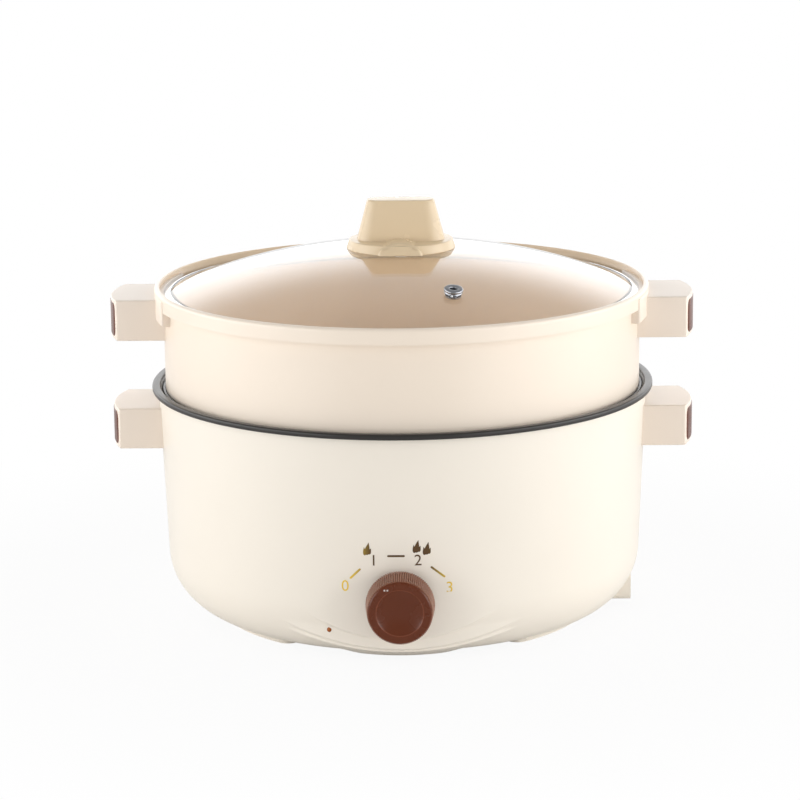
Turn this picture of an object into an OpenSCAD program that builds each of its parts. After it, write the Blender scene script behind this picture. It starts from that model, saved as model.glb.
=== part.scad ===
// Two-tier electric hot pot: pan in a plastic shell, steamer tier and lift-off glass lid.
// The pot's axis is Z, the table is z = 0, the knob faces -Y and the handles lie along X.

/* [Shell] */
// Height of the shell's top edge above the table
shell_h = 135.4; // [120:0.2:150]
// Outer radius of the pan's rim, the widest round of the pot
rim_r = 150; // [140:0.5:165]
// How far the pan's rim stands out past the shell
rim_overhang = 5.7; // [4:0.1:8]
// Lean of the shell's wall from upright, in degrees
wall_lean = 2.2; // [1:0.1:4]
// Radius of the shell's lower corner
shell_corner_r = 36; // [30:0.5:40]
// Thickness of the shell's wall
shell_wall = 2.6; // [2:0.1:3]
// Height of the shell's underside above the table
shell_lift = 2.3; // [2:0.1:4]

/* [Chin] */
// Lower edge of the top step
chin_edge_1 = 17; // [15:0.5:20]
// Lower edge of the middle step
chin_edge_2 = 11.5; // [9:0.5:14]
// Lower edge of the lowest step
chin_edge_3 = 6.5; // [5:0.1:8]
// How far the middle step lies behind the shell's wall line
chin_step_2 = 2.2; // [1:0.1:4]
// How far the lowest step lies behind the shell's wall line
chin_step_3 = 10.4; // [8:0.1:13]
// Radius of the crescents that bound the two upper steps
chin_crescent_r = 80; // [70:0.5:90]
// Radius of the crescent that bounds the lowest step
chin_low_crescent_r = 150; // [120:1:180]
// Slope of the undersides of the two upper steps
chin_slope = 0.5; // [0.3:0.01:0.6]
// Slope of the lowest step's underside
chin_low_slope = 0.3; // [0.2:0.01:0.4]

/* [Pan] */
// Room between the knob's axis and the pan's underside
pan_room = 14.4; // [12:0.1:20]
// Thickness of the pan's wall
pan_wall = 2.6; // [2:0.1:3]
// Gap between the pan's wall and the shell's wall
pan_gap = 1.3; // [0.8:0.1:2]
// Thickness of the pan's rim
rim_h = 3.2; // [2.4:0.1:4]
// Radius of the flare inside the pan's mouth
flare_r = 6; // [5:0.1:7]
// Radius of the pan's inner corner
pan_corner_r = 28; // [24:0.5:32]

/* [Steamer] */
// How far the steamer's wall stands out past the pan's mouth
seat_overlap = 2.4; // [1.5:0.1:3]
// Gap kept between tiers that lift apart
seat_gap = 0.3; // [0.2:0.05:0.5]
// Radius of the steamer's lower corner, which rests on the flare
steamer_corner_r = 8; // [7:0.1:9]
// Height of the steamer's rim above its lower corner
steamer_h = 55.1; // [45:0.1:70]
// Thickness of the steamer's wall
steamer_wall = 2.6; // [2:0.1:3]
// How far the skirt reaches down into the pan
skirt_h = 17; // [14:0.5:22]
// Gap between the skirt and the pan
skirt_gap = 0.9; // [0.5:0.1:1.5]
// How far the collar stands out past the steamer's wall
collar_out = 5.3; // [4.5:0.1:6]
// Height of the collar
collar_h = 9.2; // [8:0.1:11]
// Thickness of the rim above the lid's ledge
rim_wall = 3.2; // [2.6:0.1:3.6]
// Depth of the lid's ledge below the rim
ledge_depth = 8.2; // [7:0.1:9]
// Radius of the steam holes
steam_hole_r = 3; // [2:0.1:3.5]

/* [Lid] */
// Gap between the lid and the steamer's rim, all round
lid_gap = 1.5; // [1:0.1:2]
// Radius of the glass dome's sphere
dome_r = 378.5; // [340:0.5:420]
// Thickness of the glass
glass_t = 4; // [3.5:0.1:5]
// Thickness left at the edge of the glass
glass_edge_t = 2.1; // [1.6:0.1:2.4]
// Thickness of the steel band
band_t = 0.6; // [0.4:0.05:0.8]
// Distance of the steam vent from the axis
vent_r = 93.9; // [70:0.5:105]
// Direction of the steam vent from +X, in degrees
vent_turn = -71; // [-90:1:-60]
// Radius of the hole through the glass for the vent
vent_hole_r = 3.2; // [2.8:0.1:4]
// Radius of the lid knob's flange
flange_r = 32; // [28:0.5:36]
// Height of the lid knob above the glass
grip_h = 27.4; // [22:0.2:34]
// Width of the grip at its base
grip_base_w = 52; // [46:0.5:54]
// Width of the grip at its top
grip_top_w = 39; // [32:0.5:42]
// Depth of the grip at its base
grip_base_d = 25; // [22:0.5:28]
// Depth of the grip at its top
grip_top_d = 16; // [14:0.5:20]

/* [Handles] */
// Width of a handle
handle_w = 54.6; // [48:0.2:60]
// Height of a handle
handle_h = 24; // [22:0.2:28]
// How far the handles stand out past the shell's top edge
handle_len = 27.1; // [24:0.1:36]
// Radius of the handles' bowed ends
handle_end_r = 75; // [60:1:100]
// Radius of the handles' long edges
handle_edge_r = 2; // [1:0.1:3]
// Depth of the pot handles' middle below the shell's top edge
pot_handle_drop = 21.9; // [20:0.1:24]
// Depth of the steamer handles' middle below the steamer's rim
steamer_handle_drop = 17.9; // [17:0.1:20]
// Height of the brown end plates
insert_h = 19.7; // [18:0.1:20.5]
// Width of the brown end plates
insert_w = 46; // [42:0.5:48]
// Thickness of the brown end plates
insert_t = 2.4; // [2:0.1:3]

/* [Control] */
// Height of the knob's axis
switch_z = 40.5; // [38:0.1:42]
// Radius of the knob at the shell
knob_r = 19.4; // [17:0.1:21]
// Radius of the knob at its front
knob_front_r = 18.2; // [16:0.1:19.5]
// Depth of the knob
knob_len = 21; // [19:0.2:24]
// Gap between the knob and the shell
knob_gap = 1.3; // [0.8:0.1:2]
// Ribs round the knob
knob_ribs = 96; // [60:4:120]
// Radius of the switch shaft
shaft_r = 3; // [2.5:0.1:3.5]
// Distance of the lamp to the left of the knob
lamp_x = 40; // [36:0.5:42]
// Height of the lamp
lamp_z = 22; // [21:0.1:23]
// Radius of the lamp's lens
lamp_r = 1.5; // [1.2:0.1:1.8]

/* [Inlet] */
// Width of the inlet box
inlet_w = 46; // [42:0.5:50]
// Height of the inlet box's underside
inlet_low = 6; // [5.8:0.1:6.4]
// Height of the inlet box's top
inlet_high = 22; // [21:0.1:24]
// How far the inlet's mouth stands out past the middle of the shell's corner
inlet_len = 30.46; // [28:0.02:32]
// Depth of the inlet's mouth
inlet_depth = 17; // [14:0.5:18]

/* [Hidden] */
$fn = 96;
// Straight pieces in each drawn arc
arc_steps = 14;
// Cuts run past the faces they open by this much
past = 1;
// Clearance of a fixed pin, screw or plate in its hole
fit = 0.05;
// Running clearance of the switch shaft
run_fit = 0.05;

cream = "#f1e6d6";
steamer_cream = "#efdfcb";
beige = "#dbc6a6";
brown = "#6b3428";
pan_black = "#2a2826";
steel = "#c9ccd0";
alloy = "#b4b6b8";

// Shell: the wall leans out upwards and meets the corner arc without a step
shell_top_r = rim_r - rim_overhang;
shell_cz = shell_lift + shell_corner_r;
shell_cr = shell_top_r + ((shell_cz - shell_h) * sin(wall_lean) - shell_corner_r) / cos(wall_lean);
shell_inner_top_r = shell_top_r - shell_wall / cos(wall_lean);
cover_t = 2.2;
ring_t = 2.5;
ring_w = 18.5;
cover_ledge = 9.3;
ring_low = shell_lift + cover_t;
ring_top = ring_low + ring_t;
ring_in_r = shell_cr - ring_w;
cover_seat_r = shell_cr - cover_ledge;
chin_top = shell_cz + 6;
chin_set_back = 13;
chin_low_set_back = 40;
chin_set_front = 30;
cover_edge_gap = 0.2;
function shell_r(z) = shell_top_r - (shell_h - z) * tan(wall_lean);

// Pan: its wall follows the shell's lean
rim_z = shell_h + rim_h;
pan_r = shell_inner_top_r - pan_gap - pan_wall;
flare_cz = rim_z - flare_r;
pan_low = switch_z + pan_room;
floor_z = pan_low + pan_wall;
pan_cz = floor_z + pan_corner_r;
pan_cr = pan_r + ((pan_cz - flare_cz) * sin(wall_lean) - pan_corner_r) / cos(wall_lean);

// Screws that clamp the pan to the posts in the shell
pan_post_count = 3;
pan_post_turn = 60;
pan_post_set = 2.3;
pan_post_r = shell_cr - pan_post_set;
post_r = 5;
pan_boss_h = 8.9;
post_top = pan_low - pan_boss_h;
pan_screw_r = 2;
pan_screw_head_r = 3.6;
pan_screw_head_h = 2.6;
pan_screw_sink = 4;
pan_screw_seat = shell_lift + pan_screw_sink;
pan_screw_bite = 6;
pan_screw_tip = post_top + pan_screw_bite;
pan_screw_room = 0.5;
head_room = 0.3;

// Steamer: its corner rests on the pan's flare with the seat gap between
steamer_r = pan_r + seat_overlap;
seat_dx = pan_r + flare_r - (steamer_r - steamer_corner_r);
seat_reach = flare_r + steamer_corner_r + seat_gap;
steamer_cz = flare_cz + sqrt(seat_reach * seat_reach - seat_dx * seat_dx);
steamer_cr = steamer_r - steamer_corner_r;
steamer_top = steamer_cz + steamer_h;
steamer_low = steamer_cz - skirt_h;
steamer_floor_t = 2.5;
steam_ring_count = 3;
steam_ring_step = 24;
steam_ring_holes = 8;
steamer_in_r = steamer_r - steamer_wall;
skirt_r = pan_r - skirt_gap;
skirt_in_r = skirt_r - steamer_wall;
collar_r = steamer_r + collar_out;
collar_low = steamer_top - collar_h;
collar_slope_h = 1.6;
collar_root = collar_low - collar_slope_h;
collar_lip = 2;
ledge_z = steamer_top - ledge_depth;
rim_in_r = collar_r - rim_wall;

// Handle roots: the collar has a window at each handle, partly filled by the handle's saddle
saddle_side = 7.7;
slot_w = 4.5;
saddle_half_w = handle_w / 2 + saddle_side;
window_half_w = saddle_half_w + slot_w;
window_roof = 3;
window_high = steamer_top - window_roof;
window_depth = 2;
window_r = collar_r - window_depth;
window_drop = 2.5;
saddle_drop = 7;
saddle_low = collar_low - saddle_drop;
pot_handle_z = shell_h - pot_handle_drop;
steamer_handle_z = steamer_top - steamer_handle_drop;
handle_screw_y = 14;
handle_reach = shell_top_r + handle_len;
handle_boss_r = 4.5;
handle_boss_set = 18.4;
handle_boss_end = handle_reach - handle_boss_set;
handle_boss_root = 5;
handle_floor_t = 5;
handle_screw_r = 2;
handle_screw_seat = handle_boss_end + handle_floor_t;
boss_hole_start = 1;
screw_tip_room = 0.3;
handle_root = 12.9;
handle_run = handle_len + handle_root;
handle_head_r = 3.6;
handle_head_h = 2.6;
insert_proud = 0.4;
insert_corner_r = 4;

// Lid
lid_low = ledge_z + seat_gap;
band_r = rim_in_r - lid_gap;
band_gap = 0.9;
glass_r = band_r - band_t - band_gap;
band_fit = 0.05;
band_edge = 0.8;
band_lip = 2.4;
band_lower_lip = 6;
glass_low = lid_low + band_t;
dome_cz = glass_low + glass_edge_t - sqrt(dome_r * dome_r - glass_r * glass_r);
dome_top = dome_cz + dome_r;
vent_tilt = asin(vent_r / dome_r);
lid_screw_r = 2;
lid_hole_r = 4;
lid_gasket_r = 9;
lid_gasket_t = 1.6;
lid_washer_top = dome_top - glass_t - lid_gasket_t;
lid_washer_t = 1;
lid_washer_r = 7;
lid_head_r = 4;
lid_head_h = 2.4;
lid_bore_top = 8;
vent_bore_r = 2.1;
vent_head_r = 5.5;
vent_foot_r = 4.6;
vent_head_h = 1.4;
vent_head_edge = 1.2;
vent_foot_h = 0.9;
vent_fit = 0.1;
function dome_z(r) = dome_cz + sqrt(dome_r * dome_r - r * r);
flange_low = dome_z(flange_r);
flange_edge_h = 4;
flange_lean = 1.4;
flange_lip = 0.8;
flange_rise = 4.4;
flange_top = dome_top + flange_rise;
flange_crown_set = 2;
grip_top = dome_top + grip_h;
grip_corner_r = 7;
grip_edge_h = 3;
bump_w = 23;
bump_rise = 6.1;
bump_top = dome_top + bump_rise;

// Heater under the pan
plate_r = 92;
plate_t = 5.5;
plate_low = pan_low - plate_t;
element_r = 78;
element_tube_r = 4;
element_gap = 40;
element_tail = 2.6;
element_post_r = 3;
element_post_len = 22.4;
element_post_low = plate_low - element_post_len;
element_pin_len = 10;
element_pin_low = element_post_low - element_pin_len;
element_pin_r = 1.6;
element_hole_r = 6;
shield_t = 0.8;
shield_gap = 6.44;
shield_r = pan_post_r - post_r - shield_gap - shield_t;
shield_drop = 25.4;
shield_low = plate_low - shield_drop;
shield_rim_h = 10;
stud_count = 3;
stud_turn = 30;
stud_ring_r = 50;
stud_r = 2;
stud_shoulder_r = 3;
stud_tail = 6;
stud_low = shield_low - stud_tail;
nut_h = 3.2;
nut_r = 4;
thermostat_y = 20;
thermostat_r = 8;
thermostat_h = 11.4;
thermostat_low = plate_low - thermostat_h;
thermostat_tab = 8;
blade_len = 8;
blade_low = thermostat_low - blade_len;
blade_x = 5;
blade_t = 0.8;
blade_w = 5;
fuse_y = -15;
fuse_r = 2.2;
fuse_half = 13;
clamp_t = 0.8;
clamp_w = 8;
small_screw_r = 1.5;
small_screw_len = 4.5;
small_hole_len = 4.1;
small_head_r = 2.6;
small_head_h = 1.5;
thermostat_flange_t = 1;
thermostat_screw_x = 12;
clamp_screw_y = 7;
window_hole = [26, 16];
link_hole = [-30, 40];
link_hole_r = 5;

// Switch, shaft and knob, measured forward from the axis
wall_front = shell_r(switch_z);
knob_rear = wall_front + knob_gap;
spot_depth = 1.05;
spot_room = 2;
spot_front = wall_front - spot_depth;
pad_depth = 6.65;
pad_rear = wall_front - pad_depth;
pad_r = 12;
bush_r = 4.9;
bush_out = 5.3;
bush_end = wall_front + bush_out;
washer_t = 0.8;
washer_r = 7.5;
bush_nut_t = 2.4;
bush_nut_r = 8;
switch_size = [24, 18, 24];
switch_rear = pad_rear - switch_size[1];
terminal_len = 7;
terminal_t = 0.8;
terminal_w = 6;
terminal_drop = 4.5;
terminal_z = switch_z - terminal_drop;
terminal_step = 7;
shaft_set = 4;
shaft_rear = switch_rear + shaft_set;
shaft_end_room = 0.3;
knob_cap_t = 6;
shaft_front = knob_rear + knob_len - knob_cap_t;
shaft_flat = 2;
knob_cavity_r = 13;
knob_face_t = 4;
knob_hub_r = 5.5;
knob_hub_gap = 0.5;
knob_hub_rear = bush_end - knob_rear + knob_hub_gap;
knob_lip = 1.2;
knob_rib_depth = 0.5;
dish_r = 13;
dish_depth = 1.2;
pointer_turn = 29.6;
pointer_out = 14.7;
pip_r = 1.8;
pip_lift = 1.2;
lamp_wall = shell_r(lamp_z) - chin_step_2;
lamp_front = sqrt(lamp_wall * lamp_wall - lamp_x * lamp_x);
lamp_len = 4.1;
lamp_seat = lamp_front - lamp_len;
lamp_flange_r = 2.8;
lamp_flange_t = 1.4;
lamp_holder_r = 3.6;
lamp_holder_len = 14.3;
lamp_holder_front = lamp_seat - lamp_flange_t;
lamp_holder_rear = lamp_holder_front - lamp_holder_len;
lamp_recess = 6;

// Inlet box at the lower right
inlet_mid = (inlet_low + inlet_high) / 2;
inlet_rear = shell_cr;
inlet_reach = shell_cr + inlet_len;
inlet_wall = 2.6;
inlet_side = 6;
inlet_mouth_w = inlet_w - 2 * inlet_side;
inlet_edge_r = 3;
inlet_mouth_r = 2.5;
inlet_mouth_h = inlet_high - inlet_low - 2 * inlet_wall;
inlet_back = inlet_reach - inlet_depth;
inlet_pin_r = 2;
inlet_pin_step = 10;
inlet_pin_set = 4;
inlet_pin_front = inlet_reach - inlet_pin_set;
inlet_pin_tail = 6.5;
inlet_pin_rear = inlet_rear - inlet_pin_tail;
tongue_w = 40;
tongue_len = 12;
tongue_rear = inlet_rear - tongue_len;
tongue_t = 2.5;
inlet_screw_y = 14;
inlet_screw_set = 4.5;
inlet_screw_x = inlet_rear - inlet_screw_set;
inlet_screw_r = 1.25;
inlet_screw_skin = 1;
inlet_shell_gap = 0.3;

// Feet and bottom cover
foot_turn = 51;
foot_half_turn = 11.5;
foot_set = 0.5;
foot_mid_r = shell_cr - foot_set;
foot_half_w = 7;
foot_flare = 2;
foot_h = 6;
peg_r = 3;
peg_set = 3.5;
peg_ring_r = shell_cr - peg_set;
peg_tail = 1;
peg_top = ring_top + peg_tail;
cover_screw_count = 4;
cover_screw_turn = 45;
cover_screw_set = 4.6;
cover_screw_ring_r = cover_seat_r - cover_screw_set;
cover_boss_r = 4;
cover_boss_h = 8;
cover_boss_top = ring_top + cover_boss_h;
cover_head_h = 1.5;
cover_vent = [22, 4];
cover_vent_count = 12;
cover_vent_r = 52;
cover_vent_turn = 15;

// Wire routes, each from one terminal to the next by way of the room under the shield
wire_r = 1.2;
wire_sides = 8;
wire_steps = 3;
tag_y = terminal_len - switch_rear;
tag_z = terminal_z;
run_drop = 5;
run_z = shield_low - run_drop;
stud_at = [stud_ring_r * cos(stud_turn), stud_ring_r * sin(stud_turn)];
tail_at = [element_r * sin(element_gap / 2), element_r * cos(element_gap / 2)];
tail_z = element_pin_low;
fuse_z = plate_low - fuse_r;
function pin_start(y) = [
    [inlet_pin_rear, y, inlet_mid], [inlet_pin_rear - 4, y, inlet_mid],
    [inlet_pin_rear - 9, 1.1 * y, inlet_mid + 0.5]
];
live_route = concat(pin_start(-inlet_pin_step), [
    [inlet_pin_rear - 18, -25, inlet_mid + 4], [inlet_pin_rear - 26, -45, run_z],
    [inlet_pin_rear - 38, -68, run_z], [inlet_pin_rear - 58, tag_y + 29, run_z],
    [23, tag_y + 12, tag_z - 12], [14, tag_y + 8, tag_z - 5], [8, tag_y + 7, tag_z - 0.5],
    [terminal_step, tag_y + 4, tag_z], [terminal_step, tag_y, tag_z]
]);
neutral_route = concat(pin_start(inlet_pin_step), [
    [inlet_pin_rear - 20, 28, inlet_mid + 4], [inlet_pin_rear - 36, 52, run_z],
    [inlet_pin_rear - 53, tail_at[1] - 5.3, tail_z - 2], [tail_at[0] + 6.3, tail_at[1] - 0.3, tail_z - 6],
    [tail_at[0] + 0.8, tail_at[1] + 0.2, tail_z - 6], [tail_at[0], tail_at[1], tail_z - 3],
    [tail_at[0], tail_at[1], tail_z]
]);
earth_route = concat(pin_start(0), [
    [inlet_pin_rear - 28, 6, inlet_mid - 1], [stud_at[0] + 8.7, stud_at[1] - 5, stud_low - 7],
    [stud_at[0] + 1.7, stud_at[1] - 0.5, stud_low - 6.5], [stud_at[0], stud_at[1], stud_low - 3],
    [stud_at[0], stud_at[1], stud_low]
]);
heater_route = [
    [-terminal_step, tag_y, tag_z], [-terminal_step, tag_y + 4, tag_z], [-8, tag_y + 7, tag_z - 0.5],
    [-13, tag_y + 10, tag_z - 7], [-20, tag_y + 14, run_z + 2], [-22, tag_y + 29, run_z], [-20, -40, run_z],
    [-12, 5, run_z], [-6.5, thermostat_y - 3, run_z + 1.5], [-blade_x, thermostat_y, blade_low - 4],
    [-blade_x, thermostat_y, blade_low]
];
fuse_route = [
    [blade_x, thermostat_y, blade_low], [blade_x, thermostat_y, blade_low - 2],
    [7, thermostat_y - 1.5, blade_low - 3.5], [17, 8, blade_low - 2], [23, -5, blade_low + 6],
    [22, fuse_y + 2, fuse_z - 2.2], [fuse_half + 4, fuse_y, fuse_z], [fuse_half, fuse_y, fuse_z]
];
element_route = [
    [-fuse_half, fuse_y, fuse_z], [-fuse_half - 4, fuse_y, fuse_z], [-25, fuse_y + 2, fuse_z - 4.2],
    [link_hole[0], 0, shield_low + 10], [link_hole[0], link_hole[1] - 14, shield_low + 8],
    [link_hole[0], link_hole[1] - 2, shield_low + 4], [link_hole[0], link_hole[1] + 1, shield_low - 2],
    [link_hole[0] + 1, 57, tail_z - 3],
    [-tail_at[0] - 0.8, tail_at[1] - 3.3, tail_z - 6], [-tail_at[0], tail_at[1], tail_z - 3.5],
    [-tail_at[0], tail_at[1], tail_z]
];
lamp_route = [
    [-lamp_x, -lamp_holder_rear, lamp_z], [-lamp_x, 4 - lamp_holder_rear, lamp_z],
    [3 - lamp_x, 7 - lamp_holder_rear, lamp_z + 3], [12 - lamp_x, tag_y + 5, tag_z - 2],
    [-14, tag_y + 5, tag_z + 6], [-5, tag_y + 7, tag_z + 6], [-0.5, tag_y + 7.5, tag_z + 3],
    [0, tag_y + 5, tag_z + 0.4], [0, tag_y + 2.5, tag_z], [0, tag_y, tag_z]
];

// Points on an arc, both ends included
function arc(x, y, r, from, to, n = arc_steps) =
    [for (i = [0:n]) let (a = from + (to - from) * i / n) [x + r * cos(a), y + r * sin(a)]];
function unit(v) = v / norm(v);

// Points on a smooth curve through the given points
function bend(a, b, c, d, t) =
    0.5 * (2 * b + (c - a) * t + (2 * a - 5 * b + 4 * c - d) * t * t + (3 * b - a - 3 * c + d) * t * t * t);
function route_point(p, i) =
    i < 0 ? 2 * p[0] - p[1] : i >= len(p) ? 2 * p[len(p) - 1] - p[len(p) - 2] : p[i];
function smooth_route(p, n) = [
    for (i = [0:len(p) - 2])
        for (k = [0:n - 1])
            bend(route_point(p, i - 1), p[i], p[i + 1], route_point(p, i + 2), k / n),
    p[len(p) - 1]
];
function heading(p, i) = unit(p[min(i + 1, len(p) - 1)] - p[max(i - 1, 0)]);

// One unbroken tube along a route
module tube(route, r) {
    path = smooth_route(route, wire_steps);
    last = len(path) - 1;
    points = [
        for (i = [0:last])
            let (t = heading(path, i), u = unit(cross(t, [0.36, 0.48, 0.8])), v = cross(t, u))
            for (k = [0:wire_sides - 1])
                let (a = 360 * k / wire_sides)
                path[i] + r * (cos(a) * u + sin(a) * v)
    ];
    walls = [
        for (i = [0:last - 1])
            for (k = [0:wire_sides - 1])
                let (a = i * wire_sides + k, b = i * wire_sides + (k + 1) % wire_sides)
                each [[a, a + wire_sides, b], [b, a + wire_sides, b + wire_sides]]
    ];
    front_cap = [for (k = [0:wire_sides - 1]) k];
    rear_cap = [for (k = [0:wire_sides - 1]) last * wire_sides + wire_sides - 1 - k];
    polyhedron(points, concat(walls, [front_cap, rear_cap]));
}

// Shapes stand along Z and are turned to face right (+X) or forward (-Y)
module facing_right() rotate([0, 90, 0]) children();
module facing_front() rotate([90, 0, 0]) children();
module on_left() mirror([1, 0, 0]) children();
module round_pattern(count, r, turn) {
    for (i = [0:count - 1])
        rotate([0, 0, turn + 360 * i / count])
            translate([r, 0, 0])
                children();
}
module rod(r, low, high) translate([0, 0, low]) cylinder(r = r, h = high - low);
module rounded_rect(w, h, r) {
    square([w - 2 * r, h], center = true);
    square([w, h - 2 * r], center = true);
    for (x = [-1, 1])
        for (y = [-1, 1])
            translate([x * (w / 2 - r), y * (h / 2 - r)])
                circle(r);
}

// Outer form of the shell, filled
module shell_form() {
    rotate_extrude()
        polygon(concat(
            [[0, shell_lift]],
            arc(shell_cr, shell_cz, shell_corner_r, -90, -wall_lean),
            [[shell_top_r, shell_h], [0, shell_h]]
        ));
}

// Space inside the shell above its bottom ring
module shell_space() {
    r = shell_corner_r - shell_wall;
    start = -asin((shell_cz - ring_top) / r);
    rotate_extrude()
        polygon(concat(
            [[0, ring_top]],
            arc(shell_cr, shell_cz, r, start, -wall_lean),
            [[shell_inner_top_r + past * tan(wall_lean), shell_h + past], [0, shell_h + past]]
        ));
}

// One step of the chin: an upright wall cut below by a crescent that slopes in
module chin_step(set_in, edge_z, crescent_r, slope, set_back) {
    edge_r = shell_r(edge_z) - set_in;
    intersection() {
        translate([0, 0, shell_lift])
            cylinder(
                r1 = shell_r(shell_lift) - set_in,
                r2 = shell_r(chin_top) - set_in,
                h = chin_top - shell_lift
            );
        translate([0, set_back - edge_r, edge_z + crescent_r])
            facing_front()
                cylinder(
                    r1 = crescent_r + slope * set_back,
                    r2 = crescent_r - slope * chin_set_front,
                    h = set_back + chin_set_front
                );
    }
}

module chin() {
    chin_step(fit, chin_edge_1, chin_crescent_r, chin_slope, chin_set_back);
    chin_step(chin_step_2, chin_edge_2, chin_crescent_r, chin_slope, chin_set_back);
    chin_step(chin_step_3, chin_edge_3, chin_low_crescent_r, chin_low_slope, chin_low_set_back);
}

// Two bosses that a handle is screwed to
module handle_bosses(z, from_r) {
    for (y = [-handle_screw_y, handle_screw_y])
        translate([from_r, y, z])
            facing_right()
                cylinder(r = handle_boss_r, h = handle_boss_end - from_r);
}

module handle_boss_holes(z, from_r) {
    for (y = [-handle_screw_y, handle_screw_y])
        translate([from_r, y, z])
            facing_right()
                cylinder(r = handle_screw_r + fit, h = handle_boss_end + past - from_r);
}

module both_sides() {
    children();
    on_left() children();
}

module pan_post_places() round_pattern(pan_post_count, pan_post_r, pan_post_turn) children();
module cover_screw_places() round_pattern(cover_screw_count, cover_screw_ring_r, cover_screw_turn) children();
module stud_places() round_pattern(stud_count, stud_ring_r, stud_turn) children();
module element_post_places() {
    for (turn = [-1, 1])
        rotate([0, 0, 90 + turn * element_gap / 2])
            translate([element_r, 0, 0])
                children();
}

module inlet_screw_places() {
    for (y = [-inlet_screw_y, inlet_screw_y])
        translate([inlet_screw_x, y, 0]) children();
}

// Side is -1 on the left, end is -1 at the front
module foot_place(side, end) {
    mirror([side < 0 ? 1 : 0, 0, 0])
        rotate([0, 0, end * (90 - foot_turn)])
            children();
}

module foot_places() {
    for (side = [-1, 1])
        for (end = [-1, 1])
            foot_place(side, end) children();
}

module at_lamp(forward) translate([-lamp_x, -forward, lamp_z]) facing_front() children();
module at_knob(forward) translate([0, -forward, switch_z]) facing_front() children();

module shell_holes() {
    at_knob(0) rod(bush_r + fit, pad_rear - past, wall_front + past);
    at_knob(0) rod(washer_r + spot_room, spot_front, wall_front + past);
    at_lamp(0) rod(lamp_r + fit, lamp_seat - past, lamp_front + 2 * past);
    at_lamp(0) rod(lamp_flange_r + head_room, lamp_holder_front - past, lamp_seat);
    at_lamp(0) rod(lamp_holder_r + head_room, lamp_seat - lamp_recess, lamp_holder_front);
    pan_post_places() rod(pan_screw_r + fit, 0, post_top + past);
    pan_post_places() rod(pan_screw_head_r + head_room, 0, pan_screw_seat);
    cover_screw_places() rod(small_screw_r + fit, ring_low - past, cover_boss_top - past);
    foot_places() translate([peg_ring_r, 0, 0]) rod(peg_r + fit, 0, peg_top + past);
    inlet_screw_places() rod(inlet_screw_r + fit, shell_lift + inlet_screw_skin, ring_top + past);
    both_sides() handle_boss_holes(pot_handle_z, shell_r(pot_handle_z) + boss_hole_start);
    inlet_block(fit, inlet_rear + inlet_shell_gap - fit, rim_r);
}

module outer_shell() {
    color(cream)
        difference() {
            union() {
                difference() {
                    union() {
                        shell_form();
                        chin();
                        both_sides() handle_bosses(pot_handle_z, shell_r(pot_handle_z) - handle_boss_root);
                    }
                    shell_space();
                    rod(ring_in_r, 0, ring_top + past);
                    rod(cover_seat_r, 0, ring_low);
                }
                at_knob(0) rod(pad_r, pad_rear, wall_front - shell_wall + past / 2);
                pan_post_places() rod(post_r, ring_top - past, post_top);
                cover_screw_places() rod(cover_boss_r, ring_top - past, cover_boss_top);
            }
            shell_holes();
        }
}

module inner_pan() {
    edge_r = rim_h / 2;
    outer_r = pan_r + pan_wall / cos(wall_lean) + (shell_h - flare_cz) * tan(wall_lean);
    color(pan_black)
        difference() {
            union() {
                rotate_extrude()
                    polygon(concat(
                        [[0, floor_z]],
                        arc(pan_cr, pan_cz, pan_corner_r, -90, -wall_lean),
                        arc(pan_r + flare_r, flare_cz, flare_r, 180, 90),
                        arc(rim_r - edge_r, shell_h + edge_r, edge_r, 90, -90),
                        [[outer_r, shell_h]],
                        arc(pan_cr, pan_cz, pan_corner_r + pan_wall, -wall_lean, -90),
                        [[0, pan_low]]
                    ));
                pan_post_places() rod(post_r, post_top, pan_low + past);
            }
            pan_post_places() rod(pan_screw_r + fit, post_top - past, pan_screw_tip + pan_screw_room);
        }
}

module heater_plate() {
    color(alloy)
        difference() {
            rod(plate_r, plate_low, pan_low);
            translate([0, 0, plate_low])
                rotate_extrude()
                    translate([element_r, 0])
                        circle(element_tube_r + fit);
            stud_places() rod(stud_shoulder_r + fit, plate_low - past, pan_low + past);
            heater_screw_places() rod(small_screw_r + fit, plate_low - past, plate_low + small_hole_len);
        }
}

module heating_element() {
    start = 90 + element_gap / 2 - element_tail;
    color(steel) {
        translate([0, 0, plate_low])
            rotate([0, 0, start])
                rotate_extrude(angle = 360 - element_gap + 2 * element_tail)
                    translate([element_r, 0])
                        circle(element_tube_r);
        element_post_places() {
            rod(element_post_r, element_post_low, plate_low);
            rod(element_pin_r, element_pin_low, element_post_low + past);
        }
    }
}

module pan_studs() {
    color(steel)
        stud_places() {
            rod(stud_shoulder_r, shield_low + shield_t, pan_low);
            rod(stud_r, stud_low, shield_low + shield_t + past);
        }
}

module heat_shield() {
    high = shield_low + shield_t;
    color(steel)
        difference() {
            union() {
                rod(shield_r + shield_t, shield_low, high);
                difference() {
                    rod(shield_r + shield_t, shield_low, high + shield_rim_h);
                    rod(shield_r, shield_low + shield_t / 2, high + shield_rim_h + past);
                }
            }
            stud_places() rod(stud_r + fit, shield_low - past, high + past);
            element_post_places() rod(element_hole_r, shield_low - past, high + past);
            translate([0, thermostat_y, shield_low])
                cube([window_hole[0], window_hole[1], 2 * shield_t + 2 * past], center = true);
            translate([link_hole[0], link_hole[1], 0]) rod(link_hole_r, shield_low - past, high + past);
        }
}

module stud_nuts() {
    color(steel)
        stud_places()
            difference() {
                translate([0, 0, shield_low - nut_h]) cylinder(r = nut_r, h = nut_h, $fn = 6);
                rod(stud_r + fit, shield_low - nut_h - past, shield_low + past);
            }
}

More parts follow.
